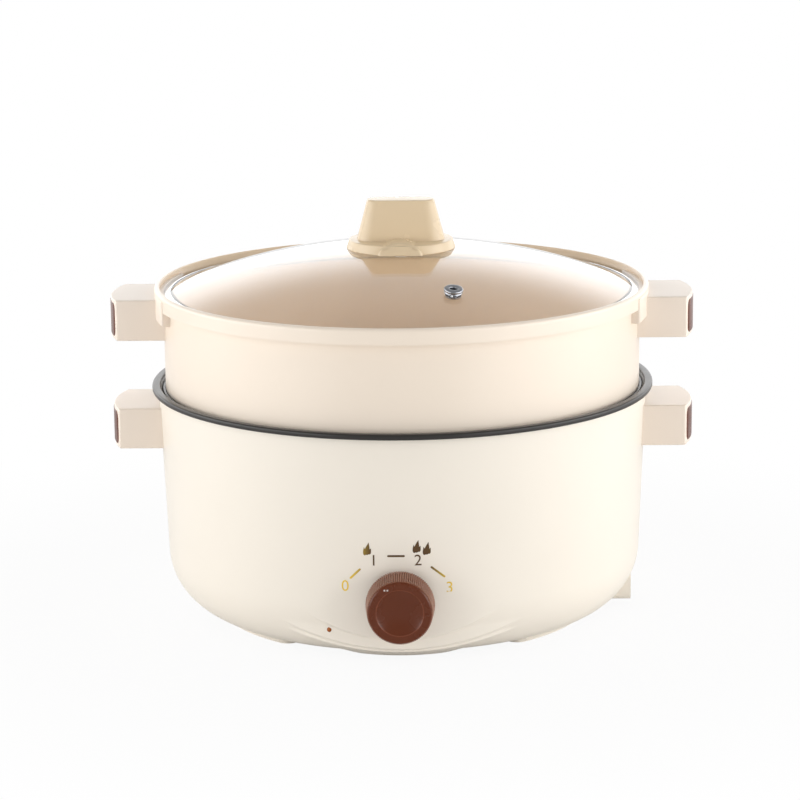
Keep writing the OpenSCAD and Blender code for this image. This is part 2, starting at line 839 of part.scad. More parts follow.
// Screw places under the heater plate: two at the thermostat, two at the fuse's clamp
module heater_screw_places() {
    for (x = [-thermostat_screw_x, thermostat_screw_x])
        translate([x, thermostat_y, 0]) children();
    for (y = [-clamp_screw_y, clamp_screw_y])
        translate([0, fuse_y + y, 0]) children();
}

module thermostat() {
    flange_low_z = plate_low - thermostat_flange_t;
    flange_len = 2 * thermostat_screw_x + thermostat_tab;
    color("ivory")
        difference() {
            union() {
                translate([0, thermostat_y, flange_low_z + thermostat_flange_t / 2])
                    cube([flange_len, thermostat_tab, thermostat_flange_t], center = true);
                translate([0, thermostat_y, 0])
                    rod(thermostat_r, thermostat_low, plate_low - thermostat_flange_t / 2);
                for (x = [-blade_x, blade_x])
                    translate([x - blade_t / 2, thermostat_y - blade_w / 2, blade_low])
                        cube([blade_t, blade_w, blade_len + past]);
            }
            for (x = [-thermostat_screw_x, thermostat_screw_x])
                translate([x, thermostat_y, 0])
                    rod(small_screw_r + fit, flange_low_z - past, plate_low + past);
        }
}

module thermal_fuse() {
    color("white")
        translate([-fuse_half, fuse_y, plate_low - fuse_r])
            facing_right()
                cylinder(r = fuse_r, h = 2 * fuse_half);
}

module fuse_clamp() {
    long = 2 * clamp_screw_y + clamp_w;
    cut_w = clamp_w + 2 * past;
    cut_x = -cut_w / 2;
    color(steel)
        difference() {
            union() {
                translate([-clamp_w / 2, fuse_y - long / 2, plate_low - clamp_t])
                    cube([clamp_w, long, clamp_t]);
                translate([-clamp_w / 2, fuse_y, plate_low - fuse_r])
                    facing_right()
                        cylinder(r = fuse_r + fit + clamp_t, h = clamp_w);
            }
            translate([cut_x, fuse_y, plate_low - fuse_r])
                facing_right()
                    cylinder(r = fuse_r + fit, h = cut_w);
            translate([cut_x, fuse_y - fuse_r - fit, plate_low - fuse_r])
                cube([cut_w, 2 * fuse_r + 2 * fit, fuse_r + past]);
            translate([cut_x, fuse_y - long / 2, plate_low]) cube([cut_w, long, fuse_r + clamp_t]);
            for (y = [-clamp_screw_y, clamp_screw_y])
                translate([0, fuse_y + y, 0])
                    rod(small_screw_r + fit, plate_low - clamp_t - past, plate_low + past);
        }
}

module heater_screws() {
    color(steel) {
        for (x = [-thermostat_screw_x, thermostat_screw_x])
            translate([x, thermostat_y, plate_low - thermostat_flange_t]) small_screw();
        for (y = [-clamp_screw_y, clamp_screw_y])
            translate([0, fuse_y + y, plate_low - clamp_t]) small_screw();
    }
}

module small_screw() {
    rod(small_head_r, -small_head_h, 0);
    rod(small_screw_r, -small_head_h / 2, small_screw_len);
}

module rotary_switch() {
    color("#e8e4da")
        difference() {
            union() {
                translate([-switch_size[0] / 2, -pad_rear, switch_z - switch_size[2] / 2]) cube(switch_size);
                at_knob(0) rod(bush_r, pad_rear - past, bush_end);
                for (x = [-terminal_step, 0, terminal_step])
                    translate([x - terminal_t / 2, -switch_rear - past, terminal_z - terminal_w / 2])
                        cube([terminal_t, terminal_len + past, terminal_w]);
            }
            at_knob(0) rod(shaft_r + run_fit, shaft_rear - shaft_end_room, bush_end + past);
        }
}

module switch_washer() {
    color(steel)
        at_knob(0)
            difference() {
                rod(washer_r, spot_front, spot_front + washer_t);
                rod(bush_r + fit, spot_front - past, spot_front + washer_t + past);
            }
}

module switch_nut() {
    low = spot_front + washer_t;
    color(steel)
        at_knob(low)
            difference() {
                cylinder(r = bush_nut_r, h = bush_nut_t, $fn = 6);
                rod(bush_r + fit, -past, bush_nut_t + past);
            }
}

// Shaft with a flat on its front stretch
module shaft_form(r, rear, front) {
    difference() {
        rod(r, rear, front);
        translate([-r - past, shaft_flat + r - shaft_r, bush_end + knob_hub_gap / 2])
            cube([2 * r + 2 * past, r, front]);
    }
}

module switch_shaft() {
    color(steel) at_knob(0) shaft_form(shaft_r, shaft_rear, shaft_front);
}

module knob_side(high) {
    outline = [
        for (i = [0:2 * knob_ribs - 1])
            let (a = 180 * i / knob_ribs, r = i % 2 == 0 ? knob_r : knob_r - knob_rib_depth)
            [r * cos(a), r * sin(a)]
    ];
    linear_extrude(height = high, scale = knob_front_r / knob_r) polygon(outline);
}

module control_knob() {
    side_h = knob_len - knob_lip;
    face_r = knob_front_r - knob_rib_depth;
    dish_ball_r = (dish_r * dish_r + dish_depth * dish_depth) / (2 * dish_depth);
    color(brown)
        at_knob(knob_rear)
            difference() {
                union() {
                    knob_side(side_h);
                    rotate_extrude()
                        polygon(concat(
                            [[0, side_h - past], [face_r, side_h - past]],
                            arc(face_r - knob_lip, side_h, knob_lip, 0, 90, 6),
                            [[0, knob_len]]
                        ));
                }
                difference() {
                    rod(knob_cavity_r, -past, knob_len - knob_face_t);
                    rod(knob_hub_r, knob_hub_rear, knob_len);
                }
                translate([0, 0, -knob_rear])
                    shaft_form(shaft_r + fit / 2, shaft_rear, shaft_front + shaft_end_room);
                translate([0, 0, knob_len + dish_ball_r - dish_depth]) sphere(dish_ball_r);
                rotate([0, 0, pointer_turn]) translate([0, pointer_out, knob_len + pip_lift]) sphere(pip_r);
            }
}

module lamp_lens() {
    color("#a5521f")
        at_lamp(0) {
            rod(lamp_r, lamp_seat - past, lamp_front);
            translate([0, 0, lamp_front - lamp_r / 2]) sphere(lamp_r);
            rod(lamp_flange_r, lamp_seat - lamp_flange_t, lamp_seat);
        }
}

module lamp_holder() {
    color("white") at_lamp(0) rod(lamp_holder_r, lamp_holder_rear, lamp_holder_front);
}

// Body of the inlet box along X, with its long edges rounded
module inlet_block(grow, from_x, to_x) {
    translate([from_x, 0, inlet_mid])
        facing_right()
            linear_extrude(to_x - from_x)
                rounded_rect(inlet_high - inlet_low + 2 * grow, inlet_w + 2 * grow, inlet_edge_r + grow);
}

module inlet_housing() {
    back_mouth_h = inlet_mouth_h - inlet_wall / 2;
    color(cream)
        difference() {
            union() {
                inlet_block(0, inlet_rear + inlet_shell_gap, inlet_reach);
                translate([tongue_rear, -tongue_w / 2, ring_top])
                    cube([tongue_len + inlet_wall, tongue_w, tongue_t]);
            }
            translate([inlet_back, 0, inlet_mid])
                facing_right()
                    linear_extrude(inlet_depth + past)
                        rounded_rect(inlet_mouth_h, inlet_mouth_w, inlet_mouth_r);
            translate([inlet_rear - past, 0, inlet_mid])
                facing_right()
                    linear_extrude(inlet_back - inlet_wall - inlet_rear + past)
                        rounded_rect(back_mouth_h, inlet_mouth_w, inlet_mouth_r);
            inlet_pin_places() cylinder(r = inlet_pin_r + fit, h = inlet_reach - inlet_pin_rear);
            inlet_screw_places() rod(inlet_screw_r + fit, ring_top - past, ring_top + tongue_t + past);
        }
}

module inlet_pin_places() {
    for (i = [-1:1])
        translate([inlet_pin_rear, i * inlet_pin_step, inlet_mid])
            facing_right()
                children();
}

module inlet_pins() {
    length = inlet_pin_front - inlet_pin_rear;
    color("gold")
        inlet_pin_places() {
            cylinder(r = inlet_pin_r, h = length - inlet_pin_r);
            translate([0, 0, length - inlet_pin_r]) sphere(inlet_pin_r);
        }
}

module inlet_screws() {
    low = ring_top + tongue_t;
    color(steel)
        inlet_screw_places() {
            rod(small_head_r, low, low + small_head_h);
            rod(inlet_screw_r, shell_lift + inlet_screw_skin + screw_tip_room, low + small_head_h / 2);
        }
}

module bottom_cover() {
    edge_r = cover_seat_r - cover_edge_gap;
    color("#e6dac8")
        difference() {
            rod(edge_r, shell_lift, ring_low);
            cover_screw_places() rod(small_screw_r + fit, shell_lift - past, ring_low + past);
            cover_screw_places() cover_screw_head(fit, past);
            round_pattern(cover_vent_count, cover_vent_r, cover_vent_turn)
                cube([cover_vent[0], cover_vent[1], 3 * ring_low], center = true);
        }
}

// Countersunk head, grown for its clearance and run out below for a cut
module cover_screw_head(grow, below) {
    flare = below * (small_head_r - small_screw_r) / cover_head_h;
    translate([0, 0, shell_lift - below])
        cylinder(r1 = small_head_r + grow + flare, r2 = small_screw_r + grow, h = cover_head_h + below);
}

module cover_screws() {
    color(steel)
        cover_screw_places() {
            cover_screw_head(0, 0);
            rod(small_screw_r, shell_lift + cover_head_h / 2, cover_boss_top - 2 * past);
        }
}

module pan_screws() {
    color(steel)
        pan_post_places() {
            rod(pan_screw_head_r, pan_screw_seat - pan_screw_head_h, pan_screw_seat);
            rod(pan_screw_r, pan_screw_seat - past, pan_screw_tip);
        }
}

// One arc-shaped foot with round ends, fitted up to the shell, with a peg
module foot() {
    color(cream) {
        difference() {
            union() {
                rotate([0, 0, -foot_half_turn])
                    rotate_extrude(angle = 2 * foot_half_turn)
                        translate([foot_mid_r, 0])
                            polygon([
                                [-foot_half_w, 0], [foot_half_w, 0],
                                [foot_half_w + foot_flare, foot_h], [-foot_half_w, foot_h]
                            ]);
                for (turn = [-foot_half_turn, foot_half_turn])
                    rotate([0, 0, turn])
                        translate([foot_mid_r, 0, 0])
                            cylinder(r1 = foot_half_w, r2 = foot_half_w + foot_flare / 2, h = foot_h);
            }
            shell_form();
        }
        translate([peg_ring_r, 0, 0]) rod(peg_r, past, peg_top);
    }
}

module foot_front_left() foot_place(-1, -1) foot();
module foot_front_right() foot_place(1, -1) foot();
module foot_rear_left() foot_place(-1, 1) foot();
module foot_rear_right() foot_place(1, 1) foot();

// A block handle on the right: long edges rounded, end bowed outwards
module handle_form(z) {
    intersection() {
        translate([handle_reach - handle_run, 0, z])
            facing_right()
                linear_extrude(handle_run + past)
                    rounded_rect(handle_h, handle_w, handle_edge_r);
        translate([0, 0, z - handle_h])
            linear_extrude(2 * handle_h)
                handle_plan(handle_end_r);
    }
}

module handle_plan(end_r) {
    translate([handle_reach - handle_end_r, 0]) circle(end_r, $fn = 200);
}

// The end plate's form, from its back face outwards
module insert_form(z, grow, out) {
    intersection() {
        translate([handle_reach - handle_run, 0, z])
            facing_right()
                linear_extrude(handle_run + handle_floor_t)
                    rounded_rect(insert_h + 2 * grow, insert_w + 2 * grow, insert_corner_r);
        translate([0, 0, z - handle_h])
            linear_extrude(2 * handle_h)
                difference() {
                    handle_plan(handle_end_r + out);
                    handle_plan(handle_end_r - insert_t + insert_proud);
                }
    }
}

// What is cut from a handle for its bosses, screws and end plate
module handle_cuts(z) {
    insert_form(z, fit, insert_t);
    for (y = [-handle_screw_y, handle_screw_y])
        translate([0, y, z])
            facing_right() {
                rod(handle_boss_r + fit, handle_reach - handle_run - past, handle_boss_end);
                rod(handle_screw_r + fit, handle_boss_end - past, handle_reach);
                rod(handle_head_r + head_room, handle_screw_seat, handle_reach);
            }
}

module insert_plate(z) {
    color(brown) insert_form(z, 0, insert_proud);
}

module handle_screw_pair(z, wall_r) {
    tip_r = wall_r + boss_hole_start + screw_tip_room;
    for (y = [-handle_screw_y, handle_screw_y])
        translate([0, y, z])
            facing_right() {
                rod(handle_head_r, handle_screw_seat, handle_screw_seat + handle_head_h);
                rod(handle_screw_r, tip_r, handle_screw_seat + past);
            }
}

module pot_handle() {
    color(cream)
        difference() {
            handle_form(pot_handle_z);
            shell_form();
            handle_cuts(pot_handle_z);
        }
}

module pot_handle_right() pot_handle();
module pot_handle_left() on_left() pot_handle();
module pot_insert_right() insert_plate(pot_handle_z);
module pot_insert_left() on_left() insert_plate(pot_handle_z);
module pot_handle_screws() {
    color(steel) both_sides() handle_screw_pair(pot_handle_z, shell_r(pot_handle_z));
}

// Outer form of the steamer, filled, with the windows at the handles
module steamer_form() {
    lip = collar_lip;
    turn = -acos((skirt_r - steamer_cr) / steamer_corner_r);
    difference() {
        rotate_extrude()
            polygon(concat(
                [[0, steamer_low]],
                arc(skirt_r - lip, steamer_low + lip, lip, -90, 0, 6),
                arc(steamer_cr, steamer_cz, steamer_corner_r, turn, 0),
                [[steamer_r, collar_root], [collar_r, collar_low]],
                arc(collar_r - lip, steamer_top - lip, lip, 0, 90, 6),
                [[0, steamer_top]]
            ));
        both_sides() collar_window();
    }
}

// Pocket in the collar beside a handle
module collar_window() {
    low = collar_low - window_drop;
    difference() {
        translate([0, -window_half_w, low]) cube([rim_r, 2 * window_half_w, window_high - low]);
        rod(steamer_r, low - past, collar_root);
        translate([0, 0, collar_root])
            cylinder(r1 = steamer_r, r2 = window_r, h = collar_low - collar_root);
        rod(window_r, collar_low - past / 10, window_high + past);
    }
}

module steamer_space() {
    lip = 0.6;
    fillet = 4;
    step_r = steamer_corner_r - steamer_wall;
    step_turn = -acos((skirt_in_r - steamer_cr) / step_r);
    floor_top = steamer_low + steamer_floor_t;
    rotate_extrude()
        polygon(concat(
            [[0, floor_top]],
            arc(skirt_in_r - fillet, floor_top + fillet, fillet, -90, 0, 6),
            arc(steamer_cr, steamer_cz, step_r, step_turn, 0, 6),
            [[steamer_in_r, ledge_z], [rim_in_r, ledge_z], [rim_in_r, steamer_top - lip]],
            [[rim_in_r + lip + past, steamer_top + past], [0, steamer_top + past]]
        ));
}

module steam_holes() {
    low = steamer_low - past;
    high = steamer_low + steamer_floor_t + past;
    rod(steam_hole_r, low, high);
    for (ring = [1:steam_ring_count])
        round_pattern(steam_ring_holes * ring, steam_ring_step * ring, 0) rod(steam_hole_r, low, high);
}

module steamer_basket() {
    color(steamer_cream)
        difference() {
            union() {
                steamer_form();
                both_sides() handle_bosses(steamer_handle_z, steamer_r - handle_boss_root);
            }
            steamer_space();
            steam_holes();
            both_sides() handle_boss_holes(steamer_handle_z, steamer_r + boss_hole_start);
        }
}

// Curved root plate that fills the collar's window and hangs below it
module saddle() {
    intersection() {
        rod(collar_r, saddle_low, window_high - fit);
        translate([0, -saddle_half_w, saddle_low - past])
            cube([collar_r + past, 2 * saddle_half_w, window_high]);
    }
}

module steamer_handle() {
    color(steamer_cream)
        difference() {
            union() {
                handle_form(steamer_handle_z);
                saddle();
            }
            steamer_form();
            handle_cuts(steamer_handle_z);
        }
}

module steamer_handle_right() steamer_handle();
module steamer_handle_left() on_left() steamer_handle();
module steamer_insert_right() insert_plate(steamer_handle_z);
module steamer_insert_left() on_left() insert_plate(steamer_handle_z);
module steamer_handle_screws() {
    color(steel) both_sides() handle_screw_pair(steamer_handle_z, steamer_r);
}

module dome(r) translate([0, 0, dome_cz]) sphere(r, $fn = 200);

// Stands shapes on the glass at the vent, along the glass's own normal
module at_vent() {
    translate([0, 0, dome_cz])
        rotate([0, vent_tilt, vent_turn])
            translate([0, 0, dome_r])
                children();
}

module lid_glass() {
    color("#dfe8e6", 0.45)
        difference() {
            intersection() {
                difference() {
                    dome(dome_r);
                    dome(dome_r - glass_t);
                }
                rod(glass_r, glass_low, dome_top + past);
            }
            rod(lid_hole_r, glass_low, dome_top + past);
            at_vent() rod(vent_hole_r, -2 * glass_t, glass_t);
        }
}

// Rolled steel band round the edge of the glass
module lid_band() {
    lip_r = glass_r - band_lip;
    lower_lip_r = glass_r - band_lower_lip;
    wall_r = glass_r + band_fit;
    edge_z = dome_z(glass_r);
    color(steel)
        rotate_extrude()
            polygon([
                [lower_lip_r, lid_low], [band_r - band_edge, lid_low], [band_r, lid_low + band_edge],
                [band_r, edge_z + band_t - band_edge], [band_r - band_edge, edge_z + band_t],
                [lip_r, dome_z(lip_r) + band_fit + band_t], [lip_r, dome_z(lip_r) + band_fit],
                [wall_r, dome_z(wall_r) + band_fit], [wall_r, glass_low], [lower_lip_r, glass_low]
            ]);
}

module vent_eyelet() {
    foot_high = -glass_t - vent_fit;
    foot_low = foot_high - vent_foot_h;
    color(steel)
        at_vent()
            difference() {
                union() {
                    rod(vent_hole_r - fit, foot_low, vent_fit + vent_head_h / 2);
                    translate([0, 0, vent_fit])
                        cylinder(r1 = vent_head_r, r2 = vent_head_r - vent_head_edge, h = vent_head_h);
                    rod(vent_foot_r, foot_low, foot_high);
                }
                rod(vent_bore_r, -2 * glass_t, glass_t);
            }
}

module lid_knob() {
    base_round = [grip_base_w / 2 - grip_corner_r, grip_base_d / 2 - grip_corner_r];
    top_round = [grip_top_w / 2 - grip_corner_r, grip_top_d / 2 - grip_corner_r];
    bump_r = bump_w / 2;
    lip_z = flange_low + flange_edge_h - flange_lip;
    edge = grip_edge_h / 3;
    color(beige)
        difference() {
            union() {
                rotate_extrude()
                    polygon(concat(
                        [[0, flange_low], [flange_r, flange_low]],
                        arc(flange_r - flange_lean - flange_lip, lip_z, flange_lip, 0, 70, 4),
                        [[grip_base_w / 2 - flange_crown_set, flange_top], [0, flange_top]]
                    ));
                hull() {
                    for (x = [-1, 1])
                        for (y = [-1, 1]) {
                            translate([x * base_round[0], y * base_round[1], flange_top - past])
                                cylinder(r = grip_corner_r, h = past, $fn = 32);
                            translate([x * top_round[0], y * top_round[1], grip_top - grip_edge_h])
                                cylinder(r = grip_corner_r, h = edge, $fn = 32);
                            translate([x * (top_round[0] - edge), y * (top_round[1] - edge), grip_top - edge])
                                cylinder(r = grip_corner_r - edge, h = edge, $fn = 32);
                        }
                }
                translate([0, -grip_base_d / 4, bump_top - bump_r])
                    facing_front()
                        cylinder(r = bump_r, h = flange_r - flange_lip - grip_base_d / 4);
            }
            dome(dome_r + fit);
            rod(lid_screw_r + fit, dome_top - past, grip_top - lid_bore_top);
        }
}

module lid_gasket() {
    high = dome_z(lid_gasket_r) - glass_t;
    color("#e9e6e0")
        difference() {
            rod(lid_gasket_r, lid_washer_top, high);
            rod(lid_screw_r + fit, lid_washer_top - past, high + past);
        }
}

module lid_washer() {
    low = lid_washer_top - lid_washer_t;
    color(steel)
        difference() {
            rod(lid_washer_r, low, lid_washer_top);
            rod(lid_screw_r + fit, low - past, lid_washer_top + past);
        }
}

module lid_screw() {
    high = lid_washer_top - lid_washer_t;
    color(steel) {
        rod(lid_head_r, high - lid_head_h, high);
        rod(lid_screw_r, high - past, grip_top - lid_bore_top - screw_tip_room);
    }
}

module live_wire() color("#8a3b22") tube(live_route, wire_r);
module neutral_wire() color("#3a5f9a") tube(neutral_route, wire_r);
module earth_wire() color("#7d9a3a") tube(earth_route, wire_r);
module link_wires() {
    color("#e8e2d0") {
        tube(heater_route, wire_r);
        tube(fuse_route, wire_r);
        tube(element_route, wire_r);
        tube(lamp_route, wire_r);
    }
}

outer_shell();
inner_pan();
heater_plate();
heating_element();
pan_studs();
heat_shield();
stud_nuts();
thermostat();
thermal_fuse();
fuse_clamp();
heater_screws();
rotary_switch();
switch_washer();
switch_nut();
lamp_lens();
lamp_holder();
inlet_housing();
inlet_pins();
inlet_screws();
bottom_cover();
cover_screws();
pan_screws();
foot_front_left();
foot_front_right();
foot_rear_left();
foot_rear_right();
pot_handle_left();
pot_handle_right();
pot_insert_left();
pot_insert_right();
pot_handle_screws();
live_wire();
neutral_wire();
earth_wire();
link_wires();
control_knob();
switch_shaft();
steamer_basket();
steamer_handle_left();
steamer_handle_right();
steamer_insert_left();
steamer_insert_right();
steamer_handle_screws();
lid_glass();
lid_band();
vent_eyelet();
lid_knob();
lid_gasket();
lid_washer();
lid_screw();
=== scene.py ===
"""Looks of an electric hot pot with a steamer tier and a lift-off glass lid.

Pieces are built in millimetres about the pot's axis, with the table at z = 0, the control knob
towards -Y and the handles along X. They are scaled to the frame's metres when they are finished.
"""
import logging
import math
from dataclasses import dataclass
from enum import Enum
from typing import Callable, Iterable, Optional, Sequence

import bmesh
import bpy
from bmesh.types import BMEdge, BMesh, BMFace, BMVert
from mathutils import Matrix, Vector


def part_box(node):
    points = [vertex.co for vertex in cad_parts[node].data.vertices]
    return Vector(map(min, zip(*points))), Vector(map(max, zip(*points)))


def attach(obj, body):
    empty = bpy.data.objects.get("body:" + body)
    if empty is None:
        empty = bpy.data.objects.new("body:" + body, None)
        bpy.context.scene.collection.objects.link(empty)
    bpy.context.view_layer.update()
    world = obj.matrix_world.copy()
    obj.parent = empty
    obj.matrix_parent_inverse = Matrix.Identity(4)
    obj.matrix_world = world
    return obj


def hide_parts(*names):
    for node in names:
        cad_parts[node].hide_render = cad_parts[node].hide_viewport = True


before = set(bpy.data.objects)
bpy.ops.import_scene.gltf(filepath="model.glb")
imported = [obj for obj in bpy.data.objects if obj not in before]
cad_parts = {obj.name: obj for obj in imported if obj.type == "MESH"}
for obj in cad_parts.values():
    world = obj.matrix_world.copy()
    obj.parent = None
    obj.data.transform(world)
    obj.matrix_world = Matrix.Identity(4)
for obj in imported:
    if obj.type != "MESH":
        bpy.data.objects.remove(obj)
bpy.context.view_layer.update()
LOG = logging.getLogger("hot_pot")
MM = 0.001
SEAM = 0.002
SNUG = 0.02
TO_FRONT = Matrix.Rotation(math.radians(90), 3, "X")
UP = Vector((0, 0, 1))

Node = bpy.types.Node
Socket = bpy.types.NodeSocket
Point = tuple[float, float]
Colour = tuple[float, float, float]
Sweep = Sequence[tuple[float, int]]
Shape = Callable[[float, float, float], float]


class Body(Enum):
    """Bodies of the frame that a piece can ride on."""

    BASE = "base"
    KNOB = "knob"
    STEAMER = "steamer"
    LID = "lid"


class Slot(Enum):
    """Material slots of the record."""

    SHELL = "shell_plastic"
    STEAMER = "steamer_plastic"
    BROWN = "brown_plastic"
    BEIGE = "beige_plastic"
    PAN = "pan_coating"
    GLASS = "lid_glass"
    LID_STEEL = "lid_steel"
    BRASS = "pin_brass"


def span(node: str) -> tuple[Vector, Vector]:
    """Give a node's lowest and highest corners in millimetres."""
    low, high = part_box(node)
    return low / MM, high / MM


def srgb(red: int, green: int, blue: int) -> Colour:
    """Give the linear colour of a screen colour from 0 to 255."""
    parts = (value / 255 for value in (red, green, blue))
    return tuple(part / 12.92 if part <= 0.04045 else ((part + 0.055) / 1.055) ** 2.4 for part in parts)


def arc(x: float, z: float, r: float, start: float, end: float, steps: int) -> list[Point]:
    """List points on an arc.

    Args:
        x: Centre across.
        z: Centre up.
        r: Radius.
        start: First angle in degrees.
        end: Last angle in degrees.
        steps: Straight pieces in the arc.

    Returns:
        The points, both ends included.
    """
    angles = [math.radians(start + (end - start) * step / steps) for step in range(steps + 1)]
    return [(x + r * math.cos(angle), z + r * math.sin(angle)) for angle in angles]


def line(start: Point, end: Point, steps: int) -> list[Point]:
    """List the points between two others, without the ends."""
    parts = [step / steps for step in range(1, steps)]
    return [(start[0] + (end[0] - start[0]) * t, start[1] + (end[1] - start[1]) * t) for t in parts]


def turned(outline: Sequence[Point], sweep: Sweep = ((360.0, 192),), start: float = 0.0) -> BMesh:
    """Spin a closed outline a full turn about Z.

    Args:
        outline: Corners as radius and height.
        sweep: Stretches of the turn as degrees and steps.
        start: Direction in degrees where the turn starts.

    Returns:
        The closed mesh.
    """
    mesh = bmesh.new()
    angle = math.radians(start)
    verts = [mesh.verts.new((r * math.cos(angle), r * math.sin(angle), z)) for r, z in outline]
    edges = [mesh.edges.new(pair) for pair in zip(verts, verts[1:] + verts[:1])]
    last = verts + edges
    for degrees, steps in sweep:
        turn = bmesh.ops.spin(
            mesh, geom=last, cent=(0, 0, 0), axis=(0, 0, 1), angle=math.radians(degrees), steps=steps
        )
        last = turn["geom_last"]
    bmesh.ops.remove_doubles(mesh, verts=mesh.verts, dist=SEAM)
    bmesh.ops.delete(mesh, geom=[edge for edge in mesh.edges if edge.is_wire], context="EDGES")
    return mesh


def reshape(mesh: BMesh, shape: Shape) -> None:
    """Move each vertex in or out.

    Args:
        mesh: Turned mesh about Z.
        shape: Gives the new radius from radius, height and direction in degrees.
    """
    for vert in mesh.verts:
        r = math.hypot(vert.co.x, vert.co.y)
        new = shape(r, vert.co.z, math.degrees(math.atan2(vert.co.y, vert.co.x)))
        if r > 0.0 and new != r:
            vert.co.x *= new / r
            vert.co.y *= new / r


def open_edges(mesh: BMesh) -> list[BMEdge]:
    """List the edges that have a face on one side only."""
    return [edge for edge in mesh.edges if edge.is_boundary]


def from_axis(point: Vector, centre: Vector, axis: Vector) -> Vector:
    """Give a point's offset square to an axis through a centre."""
    offset = point - centre
    return offset - axis * offset.dot(axis)


def bore(mesh: BMesh, faces: set[BMFace], centre: Vector, axis: Vector, r: float) -> None:
    """Open a round hole through both skins of a mesh and wall it.

    Args:
        mesh: Closed mesh to open.
        faces: Faces of both skins that lie in the hole.
        centre: A point on the hole's axis.
        axis: Direction of the hole's axis.
        r: Radius of the hole.
    """
    edges = {edge for face in faces for edge in face.edges}
    rim = [edge for edge in edges if not faces.issuperset(edge.link_faces)]
    bmesh.ops.delete(mesh, geom=list(faces), context="FACES")
    for vert in {vert for edge in rim for vert in edge.verts}:
        offset = from_axis(vert.co, centre, axis)
        vert.co += offset.normalized() * (r - offset.length)
    bmesh.ops.bridge_loops(mesh, edges=rim)


def slice_across(mesh: BMesh, cuts: Iterable[float], along: Vector) -> None:
    """Cut a mesh through at some distances along a direction."""
    for cut in cuts:
        whole = mesh.verts[:] + mesh.edges[:] + mesh.faces[:]
        bmesh.ops.bisect_plane(mesh, geom=whole, dist=1e-4, plane_co=along * cut, plane_no=along)


def moved(mesh: BMesh, turn: Matrix, shift: Sequence[float]) -> BMesh:
    """Turn a mesh about the origin, shift it and give it back."""
    bmesh.ops.rotate(mesh, verts=mesh.verts, cent=(0, 0, 0), matrix=turn)
    bmesh.ops.translate(mesh, verts=mesh.verts, vec=shift)
    return mesh


def outline_face(mesh: BMesh, outline: Sequence[Point], height: float) -> list[BMVert]:
    """Make a flat face from an outline and give its corners."""
    verts = [mesh.verts.new((x, y, height)) for x, y in outline]
    mesh.faces.new(verts)
    return verts


def raised(outline: Sequence[Point], low: float, high: float) -> tuple[BMesh, list[BMVert]]:
    """Raise an outline into a block.

    Args:
        outline: Corners across and along.
        low: Height of the block's underside.
        high: Height of its top.

    Returns:
        The mesh and the corners of its top.
    """
    mesh = bmesh.new()
    outline_face(mesh, outline, low)
    grown = bmesh.ops.extrude_face_region(mesh, geom=mesh.faces[:], use_keep_orig=True)
    top = [item for item in grown["geom"] if isinstance(item, BMVert)]
    bmesh.ops.translate(mesh, verts=top, vec=(0, 0, high - low))
    return mesh, top


def rounded_rect(width: float, depth: float, r: float, steps: int = 8) -> list[Point]:
    """List the points of a rectangle with round corners."""
    x, y = width / 2 - r, depth / 2 - r
    corners = ((x, y, 0), (-x, y, 90), (-x, -y, 180), (x, -y, 270))
    return [point for cx, cy, turn in corners for point in arc(cx, cy, r, turn, turn + 90, steps)]


def joined(meshes: Iterable[BMesh]) -> BMesh:
    """Put several meshes into one."""
    whole = bmesh.new()
    for mesh in meshes:
        loose = bpy.data.meshes.new("loose")
        mesh.to_mesh(loose)
        mesh.free()
        whole.from_mesh(loose)
        bpy.data.meshes.remove(loose)
    return whole


def round_edges(mesh: BMesh, edges: Sequence[BMEdge], r: float, steps: int = 4) -> None:
    """Round some edges of a mesh."""
    shape = {"offset": r, "segments": steps, "profile": 0.5, "affect": "EDGES"}
    bmesh.ops.bevel(mesh, geom=list(edges), material=-1, clamp_overlap=True, **shape)


def sharp_edges(mesh: BMesh, degrees: float = 40.0) -> list[BMEdge]:
    """List the edges where a mesh's faces meet at more than an angle."""
    return [edge for edge in mesh.edges if edge.calc_face_angle(0.0) > math.radians(degrees)]


